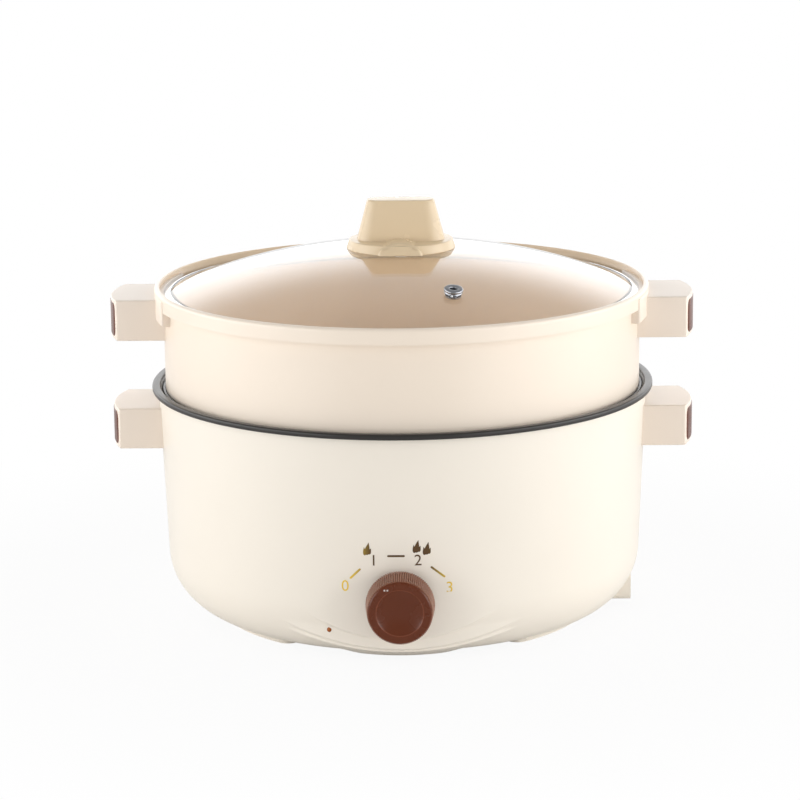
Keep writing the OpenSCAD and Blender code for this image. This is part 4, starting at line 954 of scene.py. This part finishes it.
@dataclass
class PotBody(Assembly):
    """The pot's base: shell, pan, handles, dial, feet, inlet and what is inside."""

    body: Body = Body.BASE
    pan_gap: float = 1.3
    pan_wall: float = 2.6
    pan_corner: float = 28.0
    ring_r: float = 148.1
    ring_w: float = 4.8
    ring_t: float = 2.3
    ring_edge: float = 1.2
    lip: float = 1.0
    lip_w: float = 2.8
    step_drop: float = 6.5
    dense: float = 30.0
    inlet_half_turn: float = 8.6
    inlet_low: float = 7.5
    inlet_high: float = 20.5
    inlet_in: float = 10.0

    def __post_init__(self) -> None:
        """Make the form that the other pieces follow."""
        self.form = ShellForm()

    def build(self) -> None:
        """Build and dress every piece of the base."""
        self.add("shell", self.shell(), CREAM, Slot.SHELL, ["outer_shell"], 60.0)
        self.add("pan", self.pan(), NONSTICK, Slot.PAN, ["inner_pan"])
        self.add("dial_print", DialPrint(self.form).build(), GOLD, Slot.BRASS)
        for side in ("left", "right"):
            handle = Handle(f"pot_handle_{side}", f"pot_insert_{side}", self.form.line)
            self.add(f"pot_grip_{side}", handle.block(), HANDLE_CREAM, Slot.SHELL, [handle.handle_node])
            self.add(f"pot_plate_{side}", handle.plate(), BROWN, Slot.BROWN, [handle.insert_node])
        self.dress_nodes()

    def shell(self) -> BMesh:
        """Make the shell with its chin, and open it for the inlet."""
        hole = self.inlet_half_turn
        sweep = (
            (2 * self.dense, 190),
            (90.0 - self.dense - hole, 24),
            (2 * hole, 8),
            (270.0 - self.dense - hole, 104),
        )
        mesh = turned(self.form.outline(), sweep, -90.0 - self.dense)
        reshape(mesh, self.form.chin)
        inside = []
        for face in mesh.faces:
            x, y, z = face.calc_center_median()
            turn = abs(math.degrees(math.atan2(y, x)))
            outside = math.hypot(x, y) > self.form.middle_r + self.inlet_in
            if turn < hole and self.inlet_low < z < self.inlet_high and outside:
                inside.append(face)
        bmesh.ops.delete(mesh, geom=inside, context="FACES")
        bmesh.ops.bridge_loops(mesh, edges=open_edges(mesh))
        return mesh

    def pan(self) -> BMesh:
        """Make the pan with its rolled rim."""
        tilt = math.radians(self.form.lean)
        top = self.form.top + self.ring_t
        wall_t = self.pan_wall / math.cos(tilt)
        mouth_r = self.form.top_r - self.form.wall / math.cos(tilt) - self.pan_gap - self.pan_wall
        step_z = top - self.step_drop
        floor = span("heater_plate")[1].z + self.pan_wall
        middle = floor + self.pan_corner
        middle_r = mouth_r + ((middle - step_z) * math.sin(tilt) - self.pan_corner) / math.cos(tilt)
        edge, lip_low = self.ring_edge, self.form.top - self.lip
        outline = [
            (0, floor), *arc(middle_r, middle, self.pan_corner, -90, -self.form.lean, 24), (mouth_r, step_z),
            *arc(self.ring_r - self.ring_w + edge, top - edge, edge, 180, 90, 6),
            *arc(self.ring_r - edge, top - edge, edge, 90, 0, 8),
            *arc(self.ring_r - self.lip, lip_low + self.lip, self.lip, 0, -90, 6),
            (self.ring_r - self.lip_w, lip_low), (self.ring_r - self.lip_w, self.form.top),
            (mouth_r + wall_t, self.form.top), (mouth_r + wall_t, step_z),
            *arc(middle_r, middle, self.pan_corner + self.pan_wall, -self.form.lean, -90, 24),
            (0, floor - self.pan_wall),
        ]
        return turned(outline, ((360.0, 240),))

    def dress_nodes(self) -> None:
        """Give the CAD nodes of the base their finishes."""
        feet = [f"foot_{end}_{side}" for end in ("front", "rear") for side in ("left", "right")]
        screws = [f"{name}_screws" for name in ("heater", "inlet", "cover", "pan", "pot_handle")]
        steel = ["heating_element", "pan_studs", "heat_shield", "stud_nuts", "fuse_clamp"]
        self.dress(CREAM, *feet, "inlet_housing", "bottom_cover")
        self.dress(PLAIN_STEEL, *steel, *screws, "switch_washer", "switch_nut")
        self.dress(WHITE_PLASTIC, "thermostat", "thermal_fuse", "rotary_switch", "lamp_holder")
        singles = {"heater_plate": ALLOY, "inlet_pins": BRASS, "lamp_lens": AMBER, "live_wire": BROWN_WIRE}
        singles |= {"neutral_wire": BLUE_WIRE, "earth_wire": GREEN_WIRE, "link_wires": WHITE_WIRE}
        for node, finish in singles.items():
            self.dress(finish, node)


@dataclass
class ControlKnob(Assembly):
    """The ribbed brown knob with its dished face and pointer dots, whose pale colour is a painted highlight.
    """

    body: Body = Body.KNOB
    rear_r: float = 19.4
    front_r: float = 18.2
    neck_r: float = 17.4
    neck: float = 4.0
    ribs: int = 96
    rib_depth: float = 0.6
    lip: float = 1.2
    dish_r: float = 13.6
    dish_edge: float = 0.8
    dish_turn: float = 65.0
    dish_depth: float = 2.5
    cavity_r: float = 13.0
    face_t: float = 5.0
    pointer_turn: float = 29.6
    pointer_r: float = 15.2
    dot_r: float = 0.5
    dot_step: float = 1.6
    dot_proud: float = 0.06
    dot_sink: float = 0.3

    def __post_init__(self) -> None:
        """Read the knob's place from the frame."""
        low, high = span("control_knob")
        self.rear = high.y
        self.height = (low.z + high.z) / 2
        self.length = high.y - low.y - self.dot_proud

    def build(self) -> None:
        """Build the knob and dress its shaft."""
        self.add("knob", self.knob(), KNOB_BROWN, Slot.BROWN, ["control_knob"], 50.0)
        # The dots' pale colour is a painted highlight.
        self.add("knob_pointer", self.pointer(), PAINTED_HIGHLIGHT_DOTS, Slot.BROWN)
        self.dress(PLAIN_STEEL, "switch_shaft")

    def place(self, mesh: BMesh) -> BMesh:
        """Turn a mesh made along Z to face front on the knob's axis."""
        return moved(mesh, TO_FRONT, (0, self.rear, self.height))

    def dish(self) -> list[Point]:
        """List the dished face's outline, from its edge to the middle."""
        edge = arc(self.dish_r, self.length - self.dish_edge, self.dish_edge, 90, 90 + self.dish_turn, 6)
        r, rim = edge[-1]
        ball_r = (r * r + self.dish_depth**2) / (2 * self.dish_depth)
        half = math.degrees(math.asin(r / ball_r))
        bowl = arc(0, rim + ball_r - self.dish_depth, ball_r, half - 90, -90, 20)
        return [*edge, *bowl[1:]]

    def knob(self) -> BMesh:
        """Make the knob with its ribs."""
        side = self.length - self.lip
        face_r = self.front_r - self.rib_depth
        ribbed = [(self.rear_r, self.neck), (self.front_r, side)]
        outline = [
            (self.cavity_r, 0.0), (self.neck_r, 0.0), (self.neck_r, self.neck),
            ribbed[0], *line(*ribbed, 10), ribbed[1],
            *arc(face_r - self.lip, side, self.lip, 0, 90, 6), *self.dish(),
            (0.0, self.length - self.face_t), (self.cavity_r, self.length - self.face_t),
        ]
        mesh = turned(outline, ((360.0, self.ribs * 6),))
        reshape(mesh, self.ribbing)
        return self.place(mesh)

    def ribbing(self, r: float, z: float, turn: float) -> float:
        """Give the radius of the knob's side with its ribs."""
        if r < self.front_r - 0.1:
            return r
        return r - self.rib_depth * (1.0 - abs(math.sin(math.radians(turn * self.ribs / 2))))

    def pointer(self) -> BMesh:
        """Make the two pointer dots on the knob's face."""
        turn = math.radians(90 + self.pointer_turn)
        x, y = self.pointer_r * math.cos(turn), self.pointer_r * math.sin(turn)
        low, high = self.length - self.dot_sink, self.length + self.dot_proud
        rounds = [arc(x + side * self.dot_step, y, self.dot_r, 0, 345, 23) for side in (-0.5, 0.5)]
        return self.place(joined(raised(dot, low, high)[0] for dot in rounds))


@dataclass
class Steamer(Assembly):
    """The steamer tier with its two handles."""

    body: Body = Body.STEAMER
    wall_r: float = 140.2
    wall: float = 2.6
    corner: float = 8.0
    corner_z: float = 136.6
    skirt_r: float = 136.9
    floor_t: float = 2.5
    floor_fillet: float = 4.0
    floor_steps: int = 76
    collar_r: float = 145.5
    collar_low: float = 187.0
    collar_root: float = 187.5
    lip: float = 2.0
    rim_in: float = 3.2
    rim_round: float = 0.7
    ledge: float = 8.2
    hole_r: float = 3.0
    ring_step: float = 24.0
    ring_holes: int = 8
    rings: int = 3
    window_r: float = 143.5
    window_high: float = 193.2
    window_half: float = 50.0
    saddle_half: float = 46.0
    saddle_low: float = 178.0
    saddle_edge: float = 1.6
    saddle_sink: float = 0.4
    edge: float = 0.02

    def __post_init__(self) -> None:
        """Read the steamer's place from the frame."""
        self.low = span("steamer_basket")[0].z
        self.top = span("steamer_basket")[1].z
        self.window_turn = math.degrees(math.asin(self.window_half / self.collar_r))

    def build(self) -> None:
        """Build the basket, handles and plates."""
        self.add("basket", self.basket(), STEAMER_CREAM, Slot.STEAMER, ["steamer_basket"])
        for side in ("left", "right"):
            handle = Handle(f"steamer_handle_{side}", f"steamer_insert_{side}", lambda z: self.wall_r)
            block = joined([handle.block(), handle.facing(self.saddle())])
            self.add(f"steamer_grip_{side}", block, HANDLE_CREAM, Slot.STEAMER, [handle.handle_node])
            self.add(f"steamer_plate_{side}", handle.plate(), BROWN, Slot.BROWN, [handle.insert_node])
        self.dress(PLAIN_STEEL, "steamer_handle_screws")

    def outline(self) -> list[Point]:
        """List the corners of the basket's section, from the middle hole round to it again."""
        corner_r = self.wall_r - self.corner
        turn = -math.degrees(math.acos((self.skirt_r - corner_r) / self.corner))
        inner = self.corner - self.wall
        skirt_in = self.skirt_r - self.wall
        inner_turn = -math.degrees(math.acos((skirt_in - corner_r) / inner))
        rim_r = self.collar_r - self.rim_in
        floor = self.low + self.floor_t
        fillet = self.floor_fillet
        edge = self.rim_round
        under = [(self.hole_r, self.low), (self.skirt_r - self.lip, self.low)]
        over = [(skirt_in - fillet, floor), (self.hole_r, floor)]
        wall = [(self.wall_r, self.corner_z), (self.wall_r, self.collar_root)]
        return [
            under[0], *line(*under, self.floor_steps),
            *arc(self.skirt_r - self.lip, self.low + self.lip, self.lip, -90, 0, 6),
            *arc(corner_r, self.corner_z, self.corner, turn, 0, 10), *line(*wall, 10), wall[1],
            (self.collar_r, self.collar_low), (self.collar_r, self.window_high),
            (self.collar_r, self.window_high + self.edge),
            *arc(self.collar_r - self.lip, self.top - self.lip, self.lip, 0, 90, 7),
            *arc(rim_r + edge, self.top - edge, edge, 90, 180, 4), (rim_r, self.top - self.ledge),
            (self.wall_r - self.wall, self.top - self.ledge),
            *arc(corner_r, self.corner_z, inner, 0, inner_turn, 8),
            *arc(skirt_in - fillet, floor + fillet, fillet, 0, -90, 6),
            *line(*over, self.floor_steps), over[1],
        ]

    def basket(self) -> BMesh:
        """Make the basket with its steam holes and the windows at its handles."""
        window = 2 * self.window_turn
        around = ((self.edge, 1), (window, 22), (self.edge, 1), (180.0 - window - 2 * self.edge, 104))
        mesh = turned(self.outline(), around * 2, -self.window_turn - self.edge)
        reshape(mesh, self.window)
        for centre, faces in self.hole_faces(mesh).items():
            bore(mesh, faces, Vector((*centre, 0)), UP, self.hole_r)
        return mesh

    def hole_faces(self, mesh: BMesh) -> dict[Point, set[BMFace]]:
        """Sort the floor's faces that lie in a steam hole by the middle of their hole."""
        found: dict[Point, set[BMFace]] = {}
        for face in mesh.faces:
            x, y, z = face.calc_center_median()
            ring = round(math.hypot(x, y) / self.ring_step)
            if z > self.low + self.floor_t + 0.1 or not 1 <= ring <= self.rings:
                continue
            pitch = 2 * math.pi / (ring * self.ring_holes)
            turn = round(math.atan2(y, x) / pitch) * pitch
            reach = ring * self.ring_step
            centre = (round(reach * math.cos(turn), 4), round(reach * math.sin(turn), 4))
            if math.hypot(x - centre[0], y - centre[1]) < self.hole_r:
                found.setdefault(centre, set()).add(face)
        return found

    def window(self, r: float, z: float, turn: float) -> float:
        """Give the radius of the collar where it is let in beside a handle."""
        aside = min(abs(turn), 180.0 - abs(turn))
        inside = aside < self.window_turn + self.edge / 2
        if inside and r > self.window_r and z < self.window_high + self.edge / 2:
            return self.window_r
        return r

    def saddle(self) -> BMesh:
        """Make the curved root plate of a handle on the right."""
        half = math.asin(self.saddle_half / self.collar_r)
        inner = self.wall_r - self.saddle_sink
        section = [(inner, self.saddle_low), (self.collar_r, self.saddle_low)]
        section += [(self.collar_r, self.window_high), (inner, self.window_high)]
        mesh = bmesh.new()
        verts = [mesh.verts.new((r * math.cos(half), -r * math.sin(half), z)) for r, z in section]
        face = mesh.faces.new(verts)
        bmesh.ops.spin(mesh, geom=[face], cent=(0, 0, 0), axis=UP, angle=2 * half, steps=24)
        outer = []
        for edge in sharp_edges(mesh, 60):
            if min(vert.co.to_2d().length for vert in edge.verts) > inner + 1:
                outer.append(edge)
        round_edges(mesh, outer, self.saddle_edge, 4)
        return mesh


@dataclass
class Lid(Assembly):
    """The glass lid with its steel band, steam vent and knob."""

    body: Body = Body.LID
    dome_r: float = 378.5
    glass_t: float = 4.0
    edge_t: float = 2.1
    glass_in: float = 1.5
    band_t: float = 0.6
    band_lip: float = 3.0
    band_low_lip: float = 6.0
    band_round: float = 0.9
    band_roll: float = 1.4
    band_roll_drop: float = 1.2
    fit: float = 0.05
    screw_hole: float = 4.0
    glass_rings: int = 72
    vent_from_axis: float = 93.9
    vent_turn: float = -71.0
    vent_hole: float = 3.2
    vent_bore: float = 2.1
    vent_tube: float = 3.15
    vent_foot: Point = (4.6, 0.9)
    vent_depth: float = 5.0
    vent_seat: Point = (5.2, 0.1)
    vent_roll: float = 1.1
    vent_roll_at: tuple[float, float, float] = (3.2, 4.4, 1.6)
    flange_r: float = 32.0
    flange_mid: float = 16.0
    flange_cut: Point = (0.3, 0.4)
    flange_lean: float = 1.4
    flange_round: float = 0.9
    flange_rise: float = 4.0
    grip_base: Point = (52.0, 25.0)
    grip_top: Point = (39.0, 16.0)
    grip_corner: float = 10.0
    grip_edge: float = 0.9
    bump_w: float = 26.0
    bump_h: float = 7.0
    bump_front: float = 31.6
    bump_t: float = 20.5
    bump_round: float = 1.8
    bump_lean: float = 0.44
    bump_bend: float = 2.5

    def __post_init__(self) -> None:
        """Read the lid's place from the frame."""
        low, high = span("lid_band")
        self.low = low.z
        self.band_r = high.x
        self.glass_r = self.band_r - self.glass_in
        self.glass_low = self.low + self.band_t
        self.middle = self.glass_low + self.edge_t - math.sqrt(self.dome_r**2 - self.glass_r**2)
        self.top = self.middle + self.dome_r
        self.grip_high = span("lid_knob")[1].z

    def dome(self, r: float) -> float:
        """Give the height of the glass's top at a distance from the axis."""
        return self.middle + math.sqrt(self.dome_r**2 - r * r)

    def build(self) -> None:
        """Build the lid's pieces and dress what is under its knob."""
        self.add("glass", self.glass(), GLASS, Slot.GLASS, ["lid_glass"])
        self.add("band", self.band(), POLISHED, Slot.LID_STEEL, ["lid_band"], 60.0)
        self.add("eyelet", self.eyelet(), VENT_STEEL, Slot.LID_STEEL, ["vent_eyelet"], 60.0)
        self.add("lid_grip", self.knob(), BEIGE, Slot.BEIGE, ["lid_knob"], 50.0)
        self.dress(RUBBER, "lid_gasket")
        self.dress(PLAIN_STEEL, "lid_washer", "lid_screw")

    def vent_axis(self) -> Vector:
        """Give the direction from the dome's centre to the vent."""
        tilt = math.asin(self.vent_from_axis / self.dome_r)
        turn = math.radians(self.vent_turn)
        flat = math.sin(tilt)
        return Vector((flat * math.cos(turn), flat * math.sin(turn), math.cos(tilt)))

    def glass(self) -> BMesh:
        """Make the glass dome with the holes for the vent and the knob's screw."""
        width = self.glass_r - self.screw_hole
        radii = [self.screw_hole + width * ring / self.glass_rings for ring in range(self.glass_rings + 1)]
        inner_r = self.dome_r - self.glass_t
        upper = [(r, self.dome(r)) for r in reversed(radii)]
        lower = [(r, max(self.glass_low, self.middle + math.sqrt(inner_r**2 - r * r))) for r in radii]
        mesh = turned(upper + lower, ((360.0, 216),))
        centre, axis = UP * self.middle, self.vent_axis()
        inside = set()
        for face in mesh.faces:
            if from_axis(face.calc_center_median(), centre, axis).length < self.vent_hole:
                inside.add(face)
        bore(mesh, inside, centre, axis, self.vent_hole)
        return mesh

    def band(self) -> BMesh:
        """Make the rolled steel band round the glass."""
        lip_r = self.glass_r - self.band_lip
        edge_z = self.dome(self.glass_r)
        lip_z = self.dome(lip_r) + self.fit
        low_r, wall_r = self.glass_r - self.band_low_lip, self.glass_r + self.fit
        edge, roll = self.band_round, self.band_roll
        outline = [
            (low_r, self.low), *arc(self.band_r - edge, self.low + edge, edge, -90, 0, 5),
            *arc(self.band_r - roll, edge_z + self.band_t - self.band_roll_drop, roll, 0, 85, 7),
            (lip_r + self.band_t / 2, lip_z + self.band_t),
            *arc(lip_r, lip_z + self.band_t / 2, self.band_t / 2, 90, 270, 6),
            (wall_r, edge_z + self.fit), (wall_r, self.glass_low), (low_r, self.glass_low),
        ]
        return turned(outline, ((360.0, 240),))

    def eyelet(self) -> BMesh:
        """Make the rolled steam eyelet, square to the glass."""
        low = -self.vent_depth
        foot_r, foot_t = self.vent_foot
        inner, outer, high = self.vent_roll_at
        outline = [
            (self.vent_bore, low), (foot_r, low), (foot_r, low + foot_t), (self.vent_tube, low + foot_t),
            (self.vent_tube, self.vent_seat[1]), self.vent_seat,
            *arc(outer, high, self.vent_roll, -60, 90, 8), *arc(inner, high, self.vent_roll, 90, 180, 6),
        ]
        axis = self.vent_axis()
        turn = UP.rotation_difference(axis).to_matrix()
        return moved(turned(outline, ((360.0, 48),)), turn, UP * self.middle + axis * self.dome_r)

    def knob(self) -> BMesh:
        """Make the lid's knob: flange, tapered grip and thumb bump."""
        return joined([self.flange(), self.grip(), self.bump()])

    def flange(self) -> BMesh:
        """Make the round flange that sits on the glass."""
        low = self.dome(self.flange_r) + self.fit
        crown = self.top + self.flange_rise
        edge = self.flange_round
        cut, rise = self.flange_cut
        outline = [
            (0, self.top + self.fit), (self.flange_mid, self.dome(self.flange_mid) + self.fit),
            (self.flange_r - cut, low), (self.flange_r, low + rise),
            *arc(self.flange_r - self.flange_lean - edge, crown - edge, edge, 10, 90, 6), (0, crown),
        ]
        return turned(outline, ((360.0, 144),))

    def grip(self) -> BMesh:
        """Make the tapered grip."""
        base = self.top + self.flange_rise - 1.0
        mesh, top = raised(rounded_rect(*self.grip_base, self.grip_corner, 10), base, self.grip_high)
        taper = (self.grip_top[0] / self.grip_base[0], self.grip_top[1] / self.grip_base[1], 1)
        bmesh.ops.scale(mesh, vec=taper, verts=top)
        edges = [edge for edge in sharp_edges(mesh) if all(vert in top for vert in edge.verts)]
        round_edges(mesh, edges, self.grip_edge, 5)
        return mesh

    def bump(self) -> BMesh:
        """Make the half-round thumb bump on the front of the flange."""
        r = self.bump_w / 2
        low = self.dome(self.bump_front)
        bend = self.top + self.flange_rise - self.bump_bend
        mesh = bmesh.new()
        bmesh.ops.create_cone(mesh, cap_ends=True, segments=96, radius1=r, radius2=r, depth=self.bump_t)
        bmesh.ops.rotate(mesh, verts=mesh.verts, cent=(0, 0, 0), matrix=TO_FRONT)
        round_edges(mesh, sharp_edges(mesh, 60), self.bump_round, 5)
        bmesh.ops.scale(mesh, verts=mesh.verts, vec=(1, 1, self.bump_h / r))
        bmesh.ops.translate(mesh, verts=mesh.verts, vec=(0, self.bump_t / 2 - self.bump_front, low))
        whole = mesh.verts[:] + mesh.edges[:] + mesh.faces[:]
        bmesh.ops.bisect_plane(mesh, geom=whole, plane_co=(0, 0, low), plane_no=(0, 0, 1), clear_inner=True)
        bmesh.ops.holes_fill(mesh, edges=open_edges(mesh), sides=0)
        for vert in mesh.verts:
            vert.co.y += self.bump_lean * max(vert.co.z - bend, 0.0) ** 2
        return mesh


@dataclass(frozen=True)
class SoftBox:
    """A studio lamp that shines from a panel.

    Attributes:
        name: Name of the lamp.
        place: Middle of the panel, in metres.
        aim: Point that it faces, in metres.
        size: Width and height, in metres.
        power: Power in watts.
    """

    name: str
    place: Colour
    aim: Colour
    size: Point
    power: float

    def build(self) -> None:
        """Put the lamp into the scene."""
        lamp = bpy.data.lights.new(self.name, "AREA")
        lamp.shape = "RECTANGLE"
        lamp.size, lamp.size_y = self.size
        lamp.energy = self.power
        holder = bpy.data.objects.new(self.name, lamp)
        holder.location = self.place
        holder.rotation_euler = (Vector(self.aim) - Vector(self.place)).to_track_quat("-Z", "Y").to_euler()
        bpy.context.scene.collection.objects.link(holder)
        LOG.info("%s: %.1f W", self.name, self.power)


@dataclass
class Studio:
    """Camera, lamps, white floor and white surroundings."""

    place: Colour = (-0.00152, -1.740, 0.5194)
    pitch: float = -0.22363
    roll: float = -0.0105
    turn: float = 1.0
    lens: float = 134.9
    horizon: float = 0.46
    zenith: float = 0.45
    rear: float = 1.6
    floor_glow: float = 0.92
    floor_colour: Colour = (0.85, 0.85, 0.85)
    shadow: Point = (0.2, 0.45)
    boxes: tuple[SoftBox, ...] = (
        SoftBox("left_box", (-1.3, -0.48, 0.4), (0, -0.48, 0.4), (1.5, 0.8), 10.5),
        SoftBox("right_box", (1.3, -0.48, 0.4), (0, -0.48, 0.4), (1.5, 0.8), 11.9),
        SoftBox("left_strip", (-1.1, -1.4, 0.32), (0, 0, 0.15), (0.3, 0.6), 2.7),
        SoftBox("right_strip", (1.1, -1.4, 0.32), (0, 0, 0.15), (0.3, 0.6), 3.0),
    )

    def camera(self) -> None:
        """Place the camera where the photo was taken from."""
        data = bpy.data.cameras.new("camera")
        data.sensor_width = 36.0
        data.lens = self.lens
        holder = bpy.data.objects.new("camera", data)
        holder.matrix_world = (
            Matrix.Rotation(math.radians(self.turn), 4, "Z")
            @ Matrix.Translation(self.place)
            @ Matrix.Rotation(math.pi / 2 + self.pitch, 4, "X")
            @ Matrix.Rotation(self.roll, 4, "Z")
        )
        bpy.context.scene.collection.objects.link(holder)
        bpy.context.scene.camera = holder
        bpy.context.scene.view_settings.view_transform = "Standard"

    def build(self) -> None:
        """Put up the lamps, floor and surroundings."""
        for box in self.boxes:
            box.build()
        self.floor()
        self.world()

    @staticmethod
    def seen(kit: Tree) -> Socket:
        """Give a mask of the rays that show the background, straight or through glass."""
        path = kit.add("LightPath")
        return kit.math("MAXIMUM", path.outputs["Is Camera Ray"], path.outputs["Is Transmission Ray"])

    @staticmethod
    def behind(kit: Tree) -> Socket:
        """Give a mask of the floor well behind the object."""
        return kit.ramp(kit.coordinates().outputs["Y"], (0.4, 1.0), (0.0, 1.0))

    def floor(self) -> None:
        """Lay a floor that shows white and keeps a faint shadow near the object."""
        mesh = bmesh.new()
        bmesh.ops.create_grid(mesh, x_segments=1, y_segments=1, size=20.0)
        data = bpy.data.meshes.new("floor")
        mesh.to_mesh(data)
        mesh.free()
        made = bpy.data.materials.new("white_floor")
        made.use_nodes = True
        kit = Tree(made.node_tree)
        shader = made.node_tree.nodes["Principled BSDF"]
        shader.inputs["Base Color"].default_value = (*self.floor_colour, 1.0)
        shader.inputs["Roughness"].default_value = 0.9
        shader.inputs["Specular IOR Level"].default_value = 0.0
        glow = kit.add("Emission", {"Color": (1.0, 1.0, 1.0, 1.0), "Strength": 1.0})
        place = kit.add("TexCoord")
        away = kit.add("VectorMath", operation="LENGTH")
        kit.link(place.outputs["Object"], away.inputs[0])
        fade = kit.ramp(away.outputs["Value"], self.shadow, (self.floor_glow, 1.0))
        mirrored = kit.math("MULTIPLY", kit.add("LightPath").outputs["Is Glossy Ray"], self.behind(kit))
        white = kit.math("MAXIMUM", kit.math("MULTIPLY", self.seen(kit), fade), mirrored)
        kit.either(white, shader, glow, made.node_tree.nodes["Material Output"].inputs["Surface"])
        data.materials.append(made)
        floor = bpy.data.objects.new("floor", data)
        bpy.context.scene.collection.objects.link(floor)

    def sky(self, kit: Tree) -> Socket:
        """Give the sky's brightness: dim overhead, soft low down and bright low at the back."""
        parts = kit.coordinates("Generated")
        soft = kit.ramp(parts.outputs["Z"], (0.2, 0.7), (self.horizon, self.zenith))
        low = kit.ramp(parts.outputs["Z"], (0.28, 0.58), (self.rear, 0.0))
        back = kit.ramp(parts.outputs["Y"], (-0.1, 0.5), (0.0, 1.0))
        return kit.math("ADD", soft, kit.math("MULTIPLY", low, back))

    def world(self) -> None:
        """Surround the scene with white that lights it softly."""
        world = bpy.data.worlds.new("studio")
        bpy.context.scene.world = world
        world.use_nodes = True
        kit = Tree(world.node_tree)
        soft = world.node_tree.nodes["Background"]
        soft.inputs["Color"].default_value = (1.0, 1.0, 1.0, 1.0)
        kit.link(self.sky(kit), soft.inputs["Strength"])
        bright = kit.add("Background", {"Color": (1.0, 1.0, 1.0, 1.0), "Strength": 1.0})
        kit.either(self.seen(kit), soft, bright, world.node_tree.nodes["World Output"].inputs["Surface"])


def main() -> None:
    """Build the studio and every sub-assembly."""
    logging.basicConfig(level=logging.INFO, format="%(message)s")
    studio = Studio()
    studio.camera()
    for assembly in (PotBody(), ControlKnob(), Steamer(), Lid()):
        assembly.build()
    studio.build()


if __name__ == "__main__":
    main()
